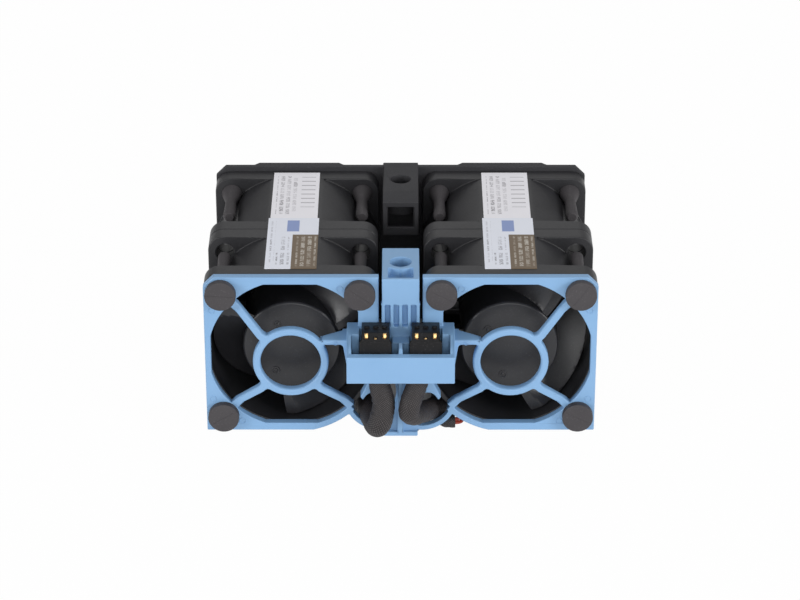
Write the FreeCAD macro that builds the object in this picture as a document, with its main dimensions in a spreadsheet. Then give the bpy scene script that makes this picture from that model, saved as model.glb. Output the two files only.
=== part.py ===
"""Server fan module: two counter-rotating 40 mm fans side by side, held on rubber isolators
between a front bracket with finger guards and a connector tray, and a rear bracket.

The frame is in millimetres: X to the right, Y from the front plate's front face towards the
back, Z up.  The origin lies under the middle of the front plate, on the plane the part rests on.
"""
import FreeCAD, Part
import math
import os
import re
import Sketcher
from FreeCAD import Placement, Rotation, Vector

DIMENSIONS = [
    ("fan_size", 40.0, "side of a fan's square flange"),
    ("fan_pitch", 50.8, "distance between the two fan axes"),
    ("axis_height", 21.2, "height of the fan axes above the base"),
    ("front_stage", 23.5, "length of a fan's front stage"),
    ("rear_stage", 32.5, "length of a fan's rear stage"),
    ("end_flange", 4.6, "thickness of the flange at a fan's open end"),
    ("seam_flange", 4.4, "thickness of the flange at the seam between the stages"),
    ("flange_corner", 3.6, "corner radius of a flange"),
    ("duct_radius", 19.0, "radius of the air duct"),
    ("duct_outside", 20.8, "outer radius of the duct, cut off by the flange's square"),
    ("notch_wall", 1.2, "wall left round the duct where the lead passes"),
    ("screw_spacing", 32.0, "distance between the corner holes of a flange"),
    ("corner_hole", 2.15, "radius of a flange's corner hole"),
    ("motor_base", 4.0, "thickness of the disc that carries the motor"),
    ("strut_width", 1.6, "width of a strut of the motor base"),
    ("strut_count", 5, "number of struts"),
    ("tube_outside", 3.8, "outer radius of the bearing tube"),
    ("tube_bore", 3.0, "bore radius of the bearing tube"),
    ("tube_floor", 1.4, "closed end of the bearing tube"),
    ("hub_radius", 11.4, "outer radius of an impeller's hub"),
    ("hub_wall", 1.0, "wall of the hub"),
    ("hub_face", 1.2, "thickness of the hub's front"),
    ("hub_recess", 2.5, "depth of the hub's face in the housing"),
    ("hub_edge", 0.4, "bevel round the hub's face"),
    ("hub_gap", 0.8, "running gap between the motor base and the hub's rim"),
    ("tip_gap", 0.5, "running gap between the blade tips and the duct"),
    ("blade_thickness", 1.3, "thickness of a blade along the axis"),
    ("blade_margin", 0.6, "distance from a blade's edge to the end of the hub"),
    ("blade_rake", 1.2, "how far a blade's tip stands in front of its root, along the axis"),
    ("front_blades", 3, "blades of a front impeller"),
    ("front_wrap", 96.0, "angle a front blade winds round the hub"),
    ("front_turn_left", 69.0, "angle at which the left front impeller stands"),
    ("front_turn_right", 91.0, "angle at which the right front impeller stands"),
    ("rear_blades", 5, "blades of a rear impeller"),
    ("rear_wrap", 66.0, "angle a rear blade winds round the hub"),
    ("rear_turn_left", 20.0, "angle at which the left rear impeller stands"),
    ("rear_turn_right", 50.0, "angle at which the right rear impeller stands"),
    ("boss_radius", 2.4, "radius of the boss that holds the shaft"),
    ("boss_length", 2.2, "length of that boss"),
    ("yoke_wall", 0.6, "wall of the steel rotor cup"),
    ("magnet_wall", 1.3, "thickness of the ring magnet"),
    ("magnet_margin", 1.6, "distance from the magnet to the ends of the cup"),
    ("air_gap", 0.4, "gap between the magnet and the stator core"),
    ("shaft_radius", 1.0, "radius of a shaft"),
    ("groove_depth", 0.25, "depth of the clip's groove in the shaft"),
    ("clip_radius", 1.9, "outer radius of the retaining clip"),
    ("clip_thickness", 0.35, "thickness of the retaining clip"),
    ("bearing_width", 2.5, "width of a bearing"),
    ("running_gap", 0.03, "radial gap of the shaft in its bearings"),
    ("seat_gap", 0.02, "radial gap between pieces that are fitted together"),
    ("core_pole", 2.4, "width of a stator pole's neck"),
    ("core_ring", 1.3, "wall of the stator core's ring"),
    ("shoe_wall", 1.1, "thickness of a pole's shoe"),
    ("shoe_angle", 36.0, "half the angle that a pole's shoe covers"),
    ("core_length", 6.0, "length of the stator core"),
    ("core_rise", 2.4, "height of the stator core above the motor base"),
    ("coil_wall", 1.1, "thickness of a winding round its pole"),
    ("board_radius", 9.3, "outer radius of the circuit board"),
    ("board_thickness", 1.0, "thickness of the circuit board"),
    ("plate_thickness", 2.0, "thickness of the front plate"),
    ("plate_half", 20.1, "half the height of the front plate"),
    ("plate_edge", 45.4, "half the width of the module"),
    ("plate_corner", 2.4, "chamfer of a bracket's upper outer corner"),
    ("frame_edge", 5.05, "inner edge of each fan's frame"),
    ("window_radius", 19.2, "radius of a bracket's window"),
    ("window_side", 18.6, "distance of the window's upright sides from the axis"),
    ("window_top", 18.2, "distance of the window's level sides from the axis"),
    ("rim_radius", 20.7, "outer radius of the rim below the connector tray"),
    ("panel_edge", 9.8, "outer edge of the panel between isolator and tray"),
    ("guard_reach", 4.0, "distance of the finger guard in front of the plate"),
    ("guard_depth", 2.3, "depth of the finger guard's ring"),
    ("guard_outside", 8.75, "outer radius of the ring"),
    ("guard_inside", 7.0, "inner radius of the ring"),
    ("spoke_width", 1.9, "width of a spoke"),
    ("spoke_bend", 10.0, "radius at which a spoke bends away from the ring"),
    ("spoke_foot", 17.2, "radius at which a spoke meets the plate"),
    ("rib_bottom", 25.75, "underside of the level rib from ring to tray"),
    ("rib_thickness", 1.35, "thickness of that rib"),
    ("tray_front", 10.6, "distance of the tray's front in front of the plate"),
    ("tray_half", 12.4, "half the width of the tray"),
    ("tray_bottom", 19.35, "underside of the tray"),
    ("tray_height", 6.8, "height of the tray's front wall"),
    ("tray_wall", 1.8, "thickness of the tray's front wall"),
    ("tray_side", 1.1, "thickness of the tray's side walls"),
    ("tray_floor", 1.5, "thickness of the tray's floor"),
    ("ledge_top", 28.75, "top of the ledge behind the tray"),
    ("ledge_depth", 4.0, "distance from the ledge's front to the plate"),
    ("recess_half", 2.3, "half the width of the recess in the ledge's middle"),
    ("recess_floor", 26.5, "floor of that recess"),
    ("divider_half", 0.5, "half the thickness of the wall between the connectors"),
    ("connector_inner", 2.0, "inner side of a connector"),
    ("connector_width", 7.5, "width of a connector"),
    ("connector_depth", 7.8, "depth of a connector"),
    ("connector_front", 8.6, "distance of a connector's face in front of the plate"),
    ("connector_top", 30.2, "top of a connector"),
    ("contact_pitch", 2.1, "distance between contacts"),
    ("contact_slot", 0.95, "width of a contact's slot"),
    ("strip_x", 4.8, "centre of the curved strip below the tray, across"),
    ("strip_z", 9.35, "centre of the curved strip, up"),
    ("strip_inside", 7.1, "inner radius of the curved strip"),
    ("strip_outside", 8.3, "outer radius of the curved strip"),
    ("strip_end", 25.0, "angle below level at which the strip joins the rim"),
    ("foot_half", 4.0, "half the width of the foot"),
    ("foot_thickness", 1.15, "thickness of the foot"),
    ("foot_front", 1.0, "distance of the foot's front edge in front of the plate"),
    ("foot_back", 12.0, "back end of the foot"),
    ("web_waist", 10.0, "radius of the curved sides of the web above the foot"),
    ("keel_half", 0.55, "half the thickness of the upright rib below the tray"),
    ("keel_top", 4.0, "reach of that rib in front of the plate, below the tray"),
    ("hook_depth", 2.1, "depth of a cable hook"),
    ("hook_reach", 9.4, "distance of a cable hook's tip from the middle"),
    ("hook_tip", 10.3, "lower end of a cable hook"),
    ("hook_arch", 2.2, "radius of the hollow in a cable hook's lower edge"),
    ("tab_half", 4.3, "half the width of the tab between the fans"),
    ("tab_front", 0.8, "distance of the tab's face in front of the plate"),
    ("tab_back", 15.3, "back end of the tab"),
    ("tab_skin", 2.2, "thickness of the tab's top"),
    ("panel_back", 1.0, "back of the tab's front panel"),
    ("panel_bottom", 34.55, "lower edge of the tab's front panel"),
    ("comb_pitch", 2.0, "distance between the ribs of the comb"),
    ("comb_rib", 0.75, "thickness of a rib of the comb"),
    ("comb_skin", 0.4, "thickness of the skin behind the comb"),
    ("crossbar_half", 2.5, "half the width of the bar below the comb"),
    ("locating_y", 8.2, "distance of the front locating hole behind the plate's face"),
    ("locating_radius", 2.5, "radius of the front locating hole"),
    ("locating_length", 8.0, "length of both locating holes"),
    ("locating_wall", 1.3, "wall round the front locating hole"),
    ("rear_plate", 1.2, "thickness of the rear plate"),
    ("rear_band", 2.4, "thickness of the rear plate's bands"),
    ("rear_half", 21.2, "half the height of the rear bracket"),
    ("band_inner", 14.0, "inner end of a band"),
    ("band_outer", 36.0, "outer end of a band"),
    ("band_height", 3.0, "height of a band"),
    ("tower_half", 4.3, "half the width of the tower between the fans"),
    ("tower_front", 18.0, "distance of the tower's front from the rear plate"),
    ("tower_bottom", 32.4, "underside of the tower"),
    ("tower_bevel", 4.0, "length of the slope at the tower's front"),
    ("tower_wall", 1.2, "wall of the tower"),
    ("opening_low", 34.45, "lower edge of the window in the tower's front"),
    ("opening_high", 39.85, "upper edge of that window"),
    ("tower_hole", 2.45, "radius of the rear locating hole"),
    ("tower_hole_y", 7.2, "distance of the rear locating hole from the rear plate"),
    ("isolator_head", 3.6, "radius of an isolator's head"),
    ("isolator_cap", 1.8, "thickness of an isolator's head"),
    ("isolator_neck", 1.95, "radius of an isolator in the bracket and the flange"),
    ("isolator_barb", 2.5, "radius of the barb behind the flange"),
    ("barb_room", 0.1, "clearance between a barb and the duct"),
    ("barb_pocket", 1.9, "depth of the pocket in the duct beside a barb"),
    ("isolator_waist", 1.3, "radius of an isolator where the barb ends"),
    ("isolator_tail", 1.5, "radius of an isolator's tail"),
    ("barb_length", 5.0, "length of the barb"),
    ("isolator_length", 19.3, "length of an isolator behind its head"),
    ("tail_round", 0.8, "rounding of a tail's end"),
    ("bracket_hole", 2.1, "radius of a bracket's isolator hole"),
    ("lead_radius", 2.65, "radius of a sleeved lead"),
    ("lead_across", 4.8, "distance of a lead from the middle where it leaves the tray"),
    ("lead_along", 5.0, "distance of a lead in front of the plate where it leaves the tray"),
    ("lead_clearance", 0.15, "clearance round a lead in the tray's floor"),
    ("label_front", 12.0, "width of a fan's front label"),
    ("label_rear", 11.2, "width of its rear label"),
    ("label_start", 4.6, "front end of the front label"),
    ("label_joint", 31.1, "where a fan's two labels meet"),
    ("label_end", 56.6, "back end of the rear label"),
    ("label_thickness", 0.15, "thickness of a label"),
]
SIDES = {"left": -1, "right": 1}
VIEWS = {"front": ("XZ_Plane", "-"), "top": ("XY_Plane", ""), "side": ("YZ_Plane", "")}

doc = FreeCAD.newDocument("server_fan_module")
sizes = doc.addObject("Spreadsheet::Sheet", "Sizes")
for row, (alias, value, meaning) in enumerate(DIMENSIONS, 1):
    sizes.set(f"A{row}", meaning)
    sizes.set(f"B{row}", str(value))
    sizes.setAlias(f"B{row}", alias)
doc.recompute()

ALIASES = re.compile(r"\b(" + "|".join(alias for alias, value, meaning in DIMENSIONS) + r")\b")
subparts = []


def formula(text):
    """The same formula with each size read from the sheet."""
    return ALIASES.sub(r"Sizes.\1", str(text))


def number(text):
    return float(sizes.evalExpression(formula(text)))


def bind(thing, path, text):
    thing.setExpression(path, formula(text))


def new_body(label, across="0", along="0", up="0", turned=False):
    """A sub-part whose own origin is placed at across, along, up, and turned half round Z."""
    body = doc.addObject("PartDesign::Body", label)
    body.Label = label
    body.AllowCompound = True
    if turned:
        body.Placement = Placement(Vector(), Rotation(Vector(0, 0, 1), 180))
    bind(body, "Placement.Base.x", across)
    bind(body, "Placement.Base.y", along)
    bind(body, "Placement.Base.z", up)
    subparts.append(body)
    return body


def sketch_on(body, view, level="0", across="0", up="0", spin=0):
    """A sketch on a plane seen from the front, the top or the side, at a level along its axis."""
    role, sign = VIEWS[view]
    sketch = body.newObject("Sketcher::SketchObject", "Sketch")
    plane = next(item for item in body.Origin.OriginFeatures if item.Role == role)
    sketch.AttachmentSupport = [(plane, "")]
    sketch.MapMode = "FlatFace"
    sketch.AttachmentOffset = Placement(Vector(), Rotation(Vector(1, 0, 0), spin))
    bind(sketch, "AttachmentOffset.Base.x", across)
    bind(sketch, "AttachmentOffset.Base.y", up)
    bind(sketch, "AttachmentOffset.Base.z", f"{sign}({level})")
    return sketch


def hold(sketch, kind, text, *target):
    """A dimension of the sketch that follows a formula."""
    index = sketch.addConstraint(Sketcher.Constraint(kind, *target, number(text)))
    sketch.renameConstraint(index, f"size{index}")
    bind(sketch, f"Constraints.size{index}", text)


def hold_point(sketch, geometry, end, across, up):
    hold(sketch, "DistanceX", across, -1, 1, geometry, end)
    hold(sketch, "DistanceY", up, -1, 1, geometry, end)


def circle(sketch, across, up, radius):
    centre = Vector(number(across), number(up), 0)
    index = sketch.addGeometry(Part.Circle(centre, Vector(0, 0, 1), number(radius)))
    hold_point(sketch, index, 3, across, up)
    hold(sketch, "Radius", radius, index)


def outline(sketch, corners, arcs=None):
    """A closed outline.  arcs gives the radius of an edge by the number of its first corner,
    positive where the edge turns left about its centre and negative where it turns right."""
    arcs = arcs or {}
    spots = [Vector(number(across), number(up), 0) for across, up in corners]
    ends = []
    for count, start in enumerate(spots):
        finish = spots[(count + 1) % len(spots)]
        if count not in arcs:
            index = sketch.addGeometry(Part.LineSegment(start, finish))
            ends.append((index, 1, 2))
            continue
        left = not arcs[count].startswith("-")
        radius = arcs[count].lstrip("-")
        chord = finish - start
        offset = (number(radius) ** 2 - chord.Length ** 2 / 4) ** 0.5
        inward = Vector(-chord.y, chord.x, 0).normalize() * (offset if left else -offset)
        centre = (start + finish) * 0.5 + inward
        full = Part.Circle(centre, Vector(0, 0, 1), number(radius))
        first, last = (start, finish) if left else (finish, start)
        index = sketch.addGeometry(
            Part.ArcOfCircle(full, full.parameter(first), full.parameter(last)))
        hold(sketch, "Radius", radius, index)
        ends.append((index, 1, 2) if left else (index, 2, 1))
    for count, (index, start, finish) in enumerate(ends):
        following = ends[(count + 1) % len(ends)]
        sketch.addConstraint(
            Sketcher.Constraint("Coincident", index, finish, following[0], following[1]))
        hold_point(sketch, index, start, *corners[count])


def rectangle(sketch, left, bottom, right, top):
    outline(sketch, [(left, bottom), (right, bottom), (right, top), (left, top)])


def grow(sketch, length, middle=False):
    """Adds the sketch's area to its body, along the positive axis or to both sides."""
    body = sketch.getParentGeoFeatureGroup()
    feature = body.newObject("PartDesign::Pad", "Pad")
    feature.Profile = (sketch, [""])
    bind(feature, "Length", length)
    feature.Reversed = sketch.AttachmentSupport[0][0].Role == "XZ_Plane"
    if middle:
        feature.SideType = "Symmetric"
    return feature


def cut(sketch, length):
    """Takes the sketch's area out of its body, along the positive axis."""
    body = sketch.getParentGeoFeatureGroup()
    doc.recompute()
    before = body.Shape.Volume
    feature = body.newObject("PartDesign::Pocket", "Pocket")
    feature.Profile = (sketch, [""])
    bind(feature, "Length", length)
    feature.Reversed = sketch.AttachmentSupport[0][0].Role != "XZ_Plane"
    doc.recompute()
    if body.Shape.Volume >= before:
        raise ValueError(f"a pocket of {body.Label} cuts nothing")
    return feature


def turn(sketch):
    """Adds the body of revolution of the sketch about its upright axis."""
    body = sketch.getParentGeoFeatureGroup()
    feature = body.newObject("PartDesign::Revolution", "Revolution")
    feature.Profile = (sketch, [""])
    feature.ReferenceAxis = (sketch, ["V_Axis"])
    feature.Angle = 360
    return feature


def turn_off(sketch):
    """Takes the body of revolution of the sketch about its upright axis out of its body."""
    body = sketch.getParentGeoFeatureGroup()
    doc.recompute()
    before = body.Shape.Volume
    feature = body.newObject("PartDesign::Groove", "Groove")
    feature.Profile = (sketch, [""])
    feature.ReferenceAxis = (sketch, ["V_Axis"])
    feature.Angle = 360
    doc.recompute()
    if body.Shape.Volume >= before:
        raise ValueError(f"a groove of {body.Label} cuts nothing")


def repeat(feature, axis, count, angle="360"):
    """Repeats a feature round an axis."""
    body = feature.getParentGeoFeatureGroup()
    pattern = body.newObject("PartDesign::PolarPattern", "PolarPattern")
    pattern.Originals = [feature]
    pattern.Axis = axis
    bind(pattern, "Occurrences", count)
    bind(pattern, "Angle", angle)
    body.Tip = pattern
    return pattern


def own_axis(body, role="Y_Axis"):
    return (next(item for item in body.Origin.OriginFeatures if item.Role == role), [""])


def mirror_body(body):
    """Adds the other half of a bracket, which is the same on both sides of its middle."""
    plane = next(item for item in body.Origin.OriginFeatures if item.Role == "YZ_Plane")
    mirrored = body.newObject("PartDesign::Mirrored", "Mirrored")
    mirrored.TransformMode = "Whole shape"
    mirrored.MirrorPlane = (plane, [""])
    body.Tip = mirrored


def draw_window(sketch, across, up):
    """A round window whose four sides are cut off straight."""
    side_rise = "sqrt(window_radius ^ 2 - window_side ^ 2)"
    top_reach = "sqrt(window_radius ^ 2 - window_top ^ 2)"
    corners = []
    for sign_x, sign_z, side_first in ((1, -1, False), (1, 1, True), (-1, 1, False), (-1, -1, True)):
        on_side = (f"{across} + {sign_x} * window_side", f"{up} + {sign_z} * {side_rise}")
        on_top = (f"{across} + {sign_x} * {top_reach}", f"{up} + {sign_z} * window_top")
        corners += [on_side, on_top] if side_first else [on_top, on_side]
    outline(sketch, corners, {count: "window_radius" for count in (0, 2, 4, 6)})


SEAM = "plate_thickness + front_stage"
AXIS_X = "fan_pitch / 2"
CORNER = "screw_spacing / 2"
HALF = "fan_size / 2"


def stage_body(label, stage, side):
    """A sub-part of a fan stage: its own Y axis runs from the seam to the stage's open end."""
    across = f"{SIDES[side]} * {AXIS_X}"
    return new_body(label, across, SEAM, "axis_height", turned=stage == "front")


def corner_region(sketch, radius, sign_x, sign_z):
    """The corner of a flange outside the duct."""
    reach = f"({HALF} + 0.1)"
    near = f"sqrt({radius} ^ 2 - {reach} ^ 2)"
    on_side = (f"{sign_x} * {reach}", f"{sign_z} * {near}")
    tip = (f"{sign_x} * {reach}", f"{sign_z} * {reach}")
    on_top = (f"{sign_x} * {near}", f"{sign_z} * {reach}")
    turn_left = sign_x * sign_z < 0
    outline(sketch, [on_side, tip, on_top], {2: radius if turn_left else "-" + radius})


# Fan housings: a square flange at each end of a duct, and the motor base on its struts.
def build_housing(stage, side):
    length = f"{stage}_stage"
    body = stage_body(f"housing_{stage}_{side}", stage, side)
    sketch = sketch_on(body, "front")
    straight = f"({HALF} - flange_corner)"
    corners = []
    for across, up in ((HALF, f"-{straight}"), (HALF, straight), (straight, HALF), (f"-{straight}", HALF),
                       (f"-{HALF}", straight), (f"-{HALF}", f"-{straight}"),
                       (f"-{straight}", f"-{HALF}"), (straight, f"-{HALF}")):
        corners.append((across, up))
    outline(sketch, corners, {count: "flange_corner" for count in (1, 3, 5, 7)})
    circle(sketch, "0", "0", "duct_radius")
    grow(sketch, length)

    valley = sketch_on(body, "front", "seam_flange")
    corner_region(valley, "duct_outside", 1, 1)
    repeat(cut(valley, f"{length} - seam_flange - end_flange"), own_axis(body), "4")

    holes = sketch_on(body, "front")
    for sign_x in (-1, 1):
        for sign_z in (-1, 1):
            circle(holes, f"{sign_x} * {CORNER}", f"{sign_z} * {CORNER}", "corner_hole")
    cut(holes, length)
    pockets = sketch_on(body, "front", f"{length} - end_flange - barb_pocket")
    for sign_x in (-1, 1):
        for sign_z in (-1, 1):
            circle(pockets, f"{sign_x} * {CORNER}", f"{sign_z} * {CORNER}", "isolator_barb + barb_room")
    cut(pockets, "barb_pocket")
    if stage == "front":
        notch = sketch_on(body, "front", f"{length} - end_flange")
        corner_region(notch, "(duct_radius + notch_wall)", SIDES[side], -1)
        cut(notch, "end_flange")

    strut = sketch_on(body, "front")
    rectangle(strut, "hub_radius - hub_wall", "-strut_width / 2", "duct_radius + 0.3", "strut_width / 2")
    repeat(grow(strut, "motor_base"), own_axis(body), "strut_count")
    base = sketch_on(body, "front")
    circle(base, "0", "0", "hub_radius")
    grow(base, "motor_base")
    tube = sketch_on(body, "front", "motor_base")
    circle(tube, "0", "0", "tube_outside")
    grow(tube, f"{tube_end(stage)} - motor_base")
    bore = sketch_on(body, "front", "tube_floor")
    circle(bore, "0", "0", "tube_bore")
    cut(bore, f"{tube_end(stage)} - tube_floor")


def hub_end(stage):
    """Where the hub's face lies, measured from the seam."""
    return f"({stage}_stage - hub_recess)"


def tube_end(stage):
    return f"({hub_end(stage)} - hub_face - boss_length - 0.6)"


# Impellers: a moulded hub cup with a boss for the shaft and wide twisted blades.
def build_impeller(stage, side):
    body = stage_body(f"impeller_{stage}_{side}", stage, side)
    face = hub_end(stage)
    rim = "(motor_base + hub_gap)"
    low = f"({rim} + blade_margin)"
    high = f"({face} - blade_margin)"
    excess = "(2 * blade_rake)"
    blade = sketch_on(body, "top")
    blade.AttachmentOffset = Placement(Vector(), Rotation(Vector(0, 1, 0), 1))
    bind(blade, "AttachmentOffset.Rotation.Angle", f"{stage}_turn_{side}")
    start = f"{low} - {excess}"
    outline(blade, [
        ("hub_radius - hub_wall / 2", start), ("duct_radius - tip_gap", f"{start} + blade_rake"),
        ("duct_radius - tip_gap", f"{start} + blade_rake + blade_thickness"),
        ("hub_radius - hub_wall / 2", f"{start} + blade_thickness"),
    ])
    doc.recompute()
    helix = body.newObject("PartDesign::AdditiveHelix", "Blade")
    helix.Profile = (blade, [""])
    helix.ReferenceAxis = (blade, ["V_Axis"])
    helix.Mode = "height-turns-angle"
    height = f"({high} - {low} + 2 * {excess})"
    bind(helix, "Height", height)
    bind(helix, "Turns", f"{stage}_wrap / 360 * {height} / ({high} - {low})")
    helix.Angle = 0
    helix.LeftHanded = stage == "front"
    repeat(helix, own_axis(body), f"{stage}_blades")
    # The hub is turned round the blade roots and joins them.
    hub = sketch_on(body, "top")
    outline(hub, [
        ("0", face), ("hub_radius - hub_edge", face), ("hub_radius", f"{face} - hub_edge"),
        ("hub_radius", rim), ("hub_radius - hub_wall", rim),
        ("hub_radius - hub_wall", f"{face} - hub_face"), ("boss_radius", f"{face} - hub_face"),
        ("boss_radius", f"{face} - hub_face - boss_length"),
        ("shaft_radius + seat_gap", f"{face} - hub_face - boss_length"),
        ("shaft_radius + seat_gap", f"{face} - hub_face"), ("0", f"{face} - hub_face"),
    ])
    turn(hub)
    # The blades end level with the hub: what stands past either end is turned off.
    ends = sketch_on(body, "top")
    outline(ends, [
        ("hub_radius", high), ("duct_radius", high), ("duct_radius", f"{high} + 3 * {excess}"),
        ("hub_radius - hub_wall", f"{high} + 3 * {excess}"), ("hub_radius - hub_wall", face),
        ("hub_radius - hub_edge", face), ("hub_radius", f"{face} - hub_edge"),
    ])
    outline(ends, [
        ("hub_radius", low), ("hub_radius", rim), ("hub_radius - hub_wall", rim),
        ("hub_radius - hub_wall", f"{low} - 3 * {excess}"), ("duct_radius", f"{low} - 3 * {excess}"),
        ("duct_radius", low),
    ])
    turn_off(ends)


# Rotor: a steel cup pressed into the hub, a ring magnet in the cup, a shaft in the boss and the
# clip that keeps the shaft in its bearings.
def build_rotor(stage, side):
    face = f"({hub_end(stage)} - hub_face)"
    rim = "(motor_base + hub_gap)"
    outer = "(hub_radius - hub_wall - seat_gap)"
    inner = f"({outer} - yoke_wall)"

    yoke = sketch_on(stage_body(f"yoke_{stage}_{side}", stage, side), "top")
    outline(yoke, [
        ("boss_radius + seat_gap", face), (outer, face), (outer, rim), (inner, rim),
        (inner, f"{face} - yoke_wall"), ("boss_radius + seat_gap", f"{face} - yoke_wall"),
    ])
    turn(yoke)

    magnet = sketch_on(stage_body(f"magnet_{stage}_{side}", stage, side), "top")
    rectangle(magnet, f"{inner} - seat_gap - magnet_wall", f"{rim} + magnet_margin",
              f"{inner} - seat_gap", f"{face} - yoke_wall - magnet_margin")
    turn(magnet)

    clip_level = f"({bearing_levels(stage)[0]} - clip_thickness - 0.1)"
    shaft = sketch_on(stage_body(f"shaft_{stage}_{side}", stage, side), "top")
    outline(shaft, [
        ("0", "tube_floor + 0.4"), ("shaft_radius", "tube_floor + 0.4"), ("shaft_radius", clip_level),
        ("shaft_radius - groove_depth", clip_level),
        ("shaft_radius - groove_depth", f"{clip_level} + clip_thickness"),
        ("shaft_radius", f"{clip_level} + clip_thickness"), ("shaft_radius", face), ("0", face),
    ])
    turn(shaft)

    clip = sketch_on(stage_body(f"clip_{stage}_{side}", stage, side), "front", clip_level)
    circle(clip, "0", "0", "clip_radius")
    circle(clip, "0", "0", "shaft_radius - groove_depth + seat_gap")
    grow(clip, "clip_thickness")


def bearing_levels(stage):
    """Where the two bearings of a stage start, measured from the seam."""
    return ("(tube_floor + 2.2)", f"({tube_end(stage)} - bearing_width - 0.3)")


# Stator: two bearings in the tube, a four-pole core on it with its windings, and the driver board.
def build_stator(stage, side):
    bearings = stage_body(f"bearings_{stage}_{side}", stage, side)
    for level in bearing_levels(stage):
        ring = sketch_on(bearings, "front", level)
        circle(ring, "0", "0", "tube_bore - seat_gap")
        circle(ring, "0", "0", "shaft_radius + running_gap")
        grow(ring, "bearing_width")

    core_outer = "(hub_radius - hub_wall - yoke_wall - magnet_wall - 2 * seat_gap - air_gap)"
    neck_start = "(tube_outside + seat_gap + core_ring)"
    neck_end = f"({core_outer} - shoe_wall)"
    low = "(motor_base + core_rise)"
    core = stage_body(f"core_{stage}_{side}", stage, side)
    ring = sketch_on(core, "front", low)
    circle(ring, "0", "0", neck_start)
    circle(ring, "0", "0", "tube_outside + seat_gap")
    grow(ring, "core_length")
    pole = sketch_on(core, "front", low)
    neck = "core_pole / 2"
    root = f"({neck_start} - core_ring / 3)"
    shoe_in = f"sqrt({neck_end} ^ 2 - ({neck}) ^ 2)"
    outline(pole, [
        (root, f"-{neck}"), (shoe_in, f"-{neck}"),
        (f"{neck_end} * cos(shoe_angle)", f"-{neck_end} * sin(shoe_angle)"),
        (f"{core_outer} * cos(shoe_angle)", f"-{core_outer} * sin(shoe_angle)"),
        (f"{core_outer} * cos(shoe_angle)", f"{core_outer} * sin(shoe_angle)"),
        (f"{neck_end} * cos(shoe_angle)", f"{neck_end} * sin(shoe_angle)"),
        (shoe_in, neck), (root, neck),
    ], {1: "-" + neck_end, 3: core_outer, 5: "-" + neck_end})
    repeat(grow(pole, "core_length"), own_axis(core), "4")

    coils = stage_body(f"coils_{stage}_{side}", stage, side)
    winding = sketch_on(coils, "side", f"{neck_start} + 0.15")
    half = "(core_pole / 2 + seat_gap)"
    middle = f"({low} + core_length / 2)"
    reach = "(core_length / 2 + seat_gap)"
    rectangle(winding, f"{middle} - {reach} - coil_wall", f"-({half} + coil_wall)",
              f"{middle} + {reach} + coil_wall", f"{half} + coil_wall")
    rectangle(winding, f"{middle} - {reach}", f"-{half}", f"{middle} + {reach}", half)
    repeat(grow(winding, f"{neck_end} - {neck_start} - 0.75"), own_axis(coils), "4")

    board = sketch_on(stage_body(f"board_{stage}_{side}", stage, side), "front", "motor_base")
    circle(board, "0", "0", "board_radius")
    circle(board, "0", "0", "tube_outside + seat_gap")
    grow(board, "board_thickness")


# Isolators: rubber buttons pulled through a bracket and a flange from outside.  The front ones
# leave out the lower inner corner, where the lead passes.
def build_isolators(stage, side):
    plate = "plate_thickness" if stage == "front" else "rear_plate"
    along = "0" if stage == "front" else f"{SEAM} + rear_stage + rear_plate"
    through = f"({plate} + end_flange)"
    tail = "isolator_length"
    body = new_body(f"isolators_{stage}_{side}", f"{SIDES[side]} * {AXIS_X}", along, "axis_height",
                    turned=stage == "rear")
    sketch = sketch_on(body, "top", CORNER, across=f"{-SIDES[side]} * {CORNER}")
    outline(sketch, [
        ("0", "-isolator_cap"), ("isolator_head", "-isolator_cap"), ("isolator_head", "0"),
        ("isolator_neck", "0"), ("isolator_neck", through), ("isolator_barb", through),
        ("isolator_waist", f"{through} + barb_length"), ("isolator_tail", f"{tail} - tail_round"),
        ("isolator_tail - tail_round / 2", tail), ("0", tail),
    ])
    button = turn(sketch)
    if stage == "rear":
        repeat(button, own_axis(body), "4")
        return
    pattern = repeat(button, own_axis(body), "3", "180")
    pattern.Reversed = side == "left"


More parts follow.
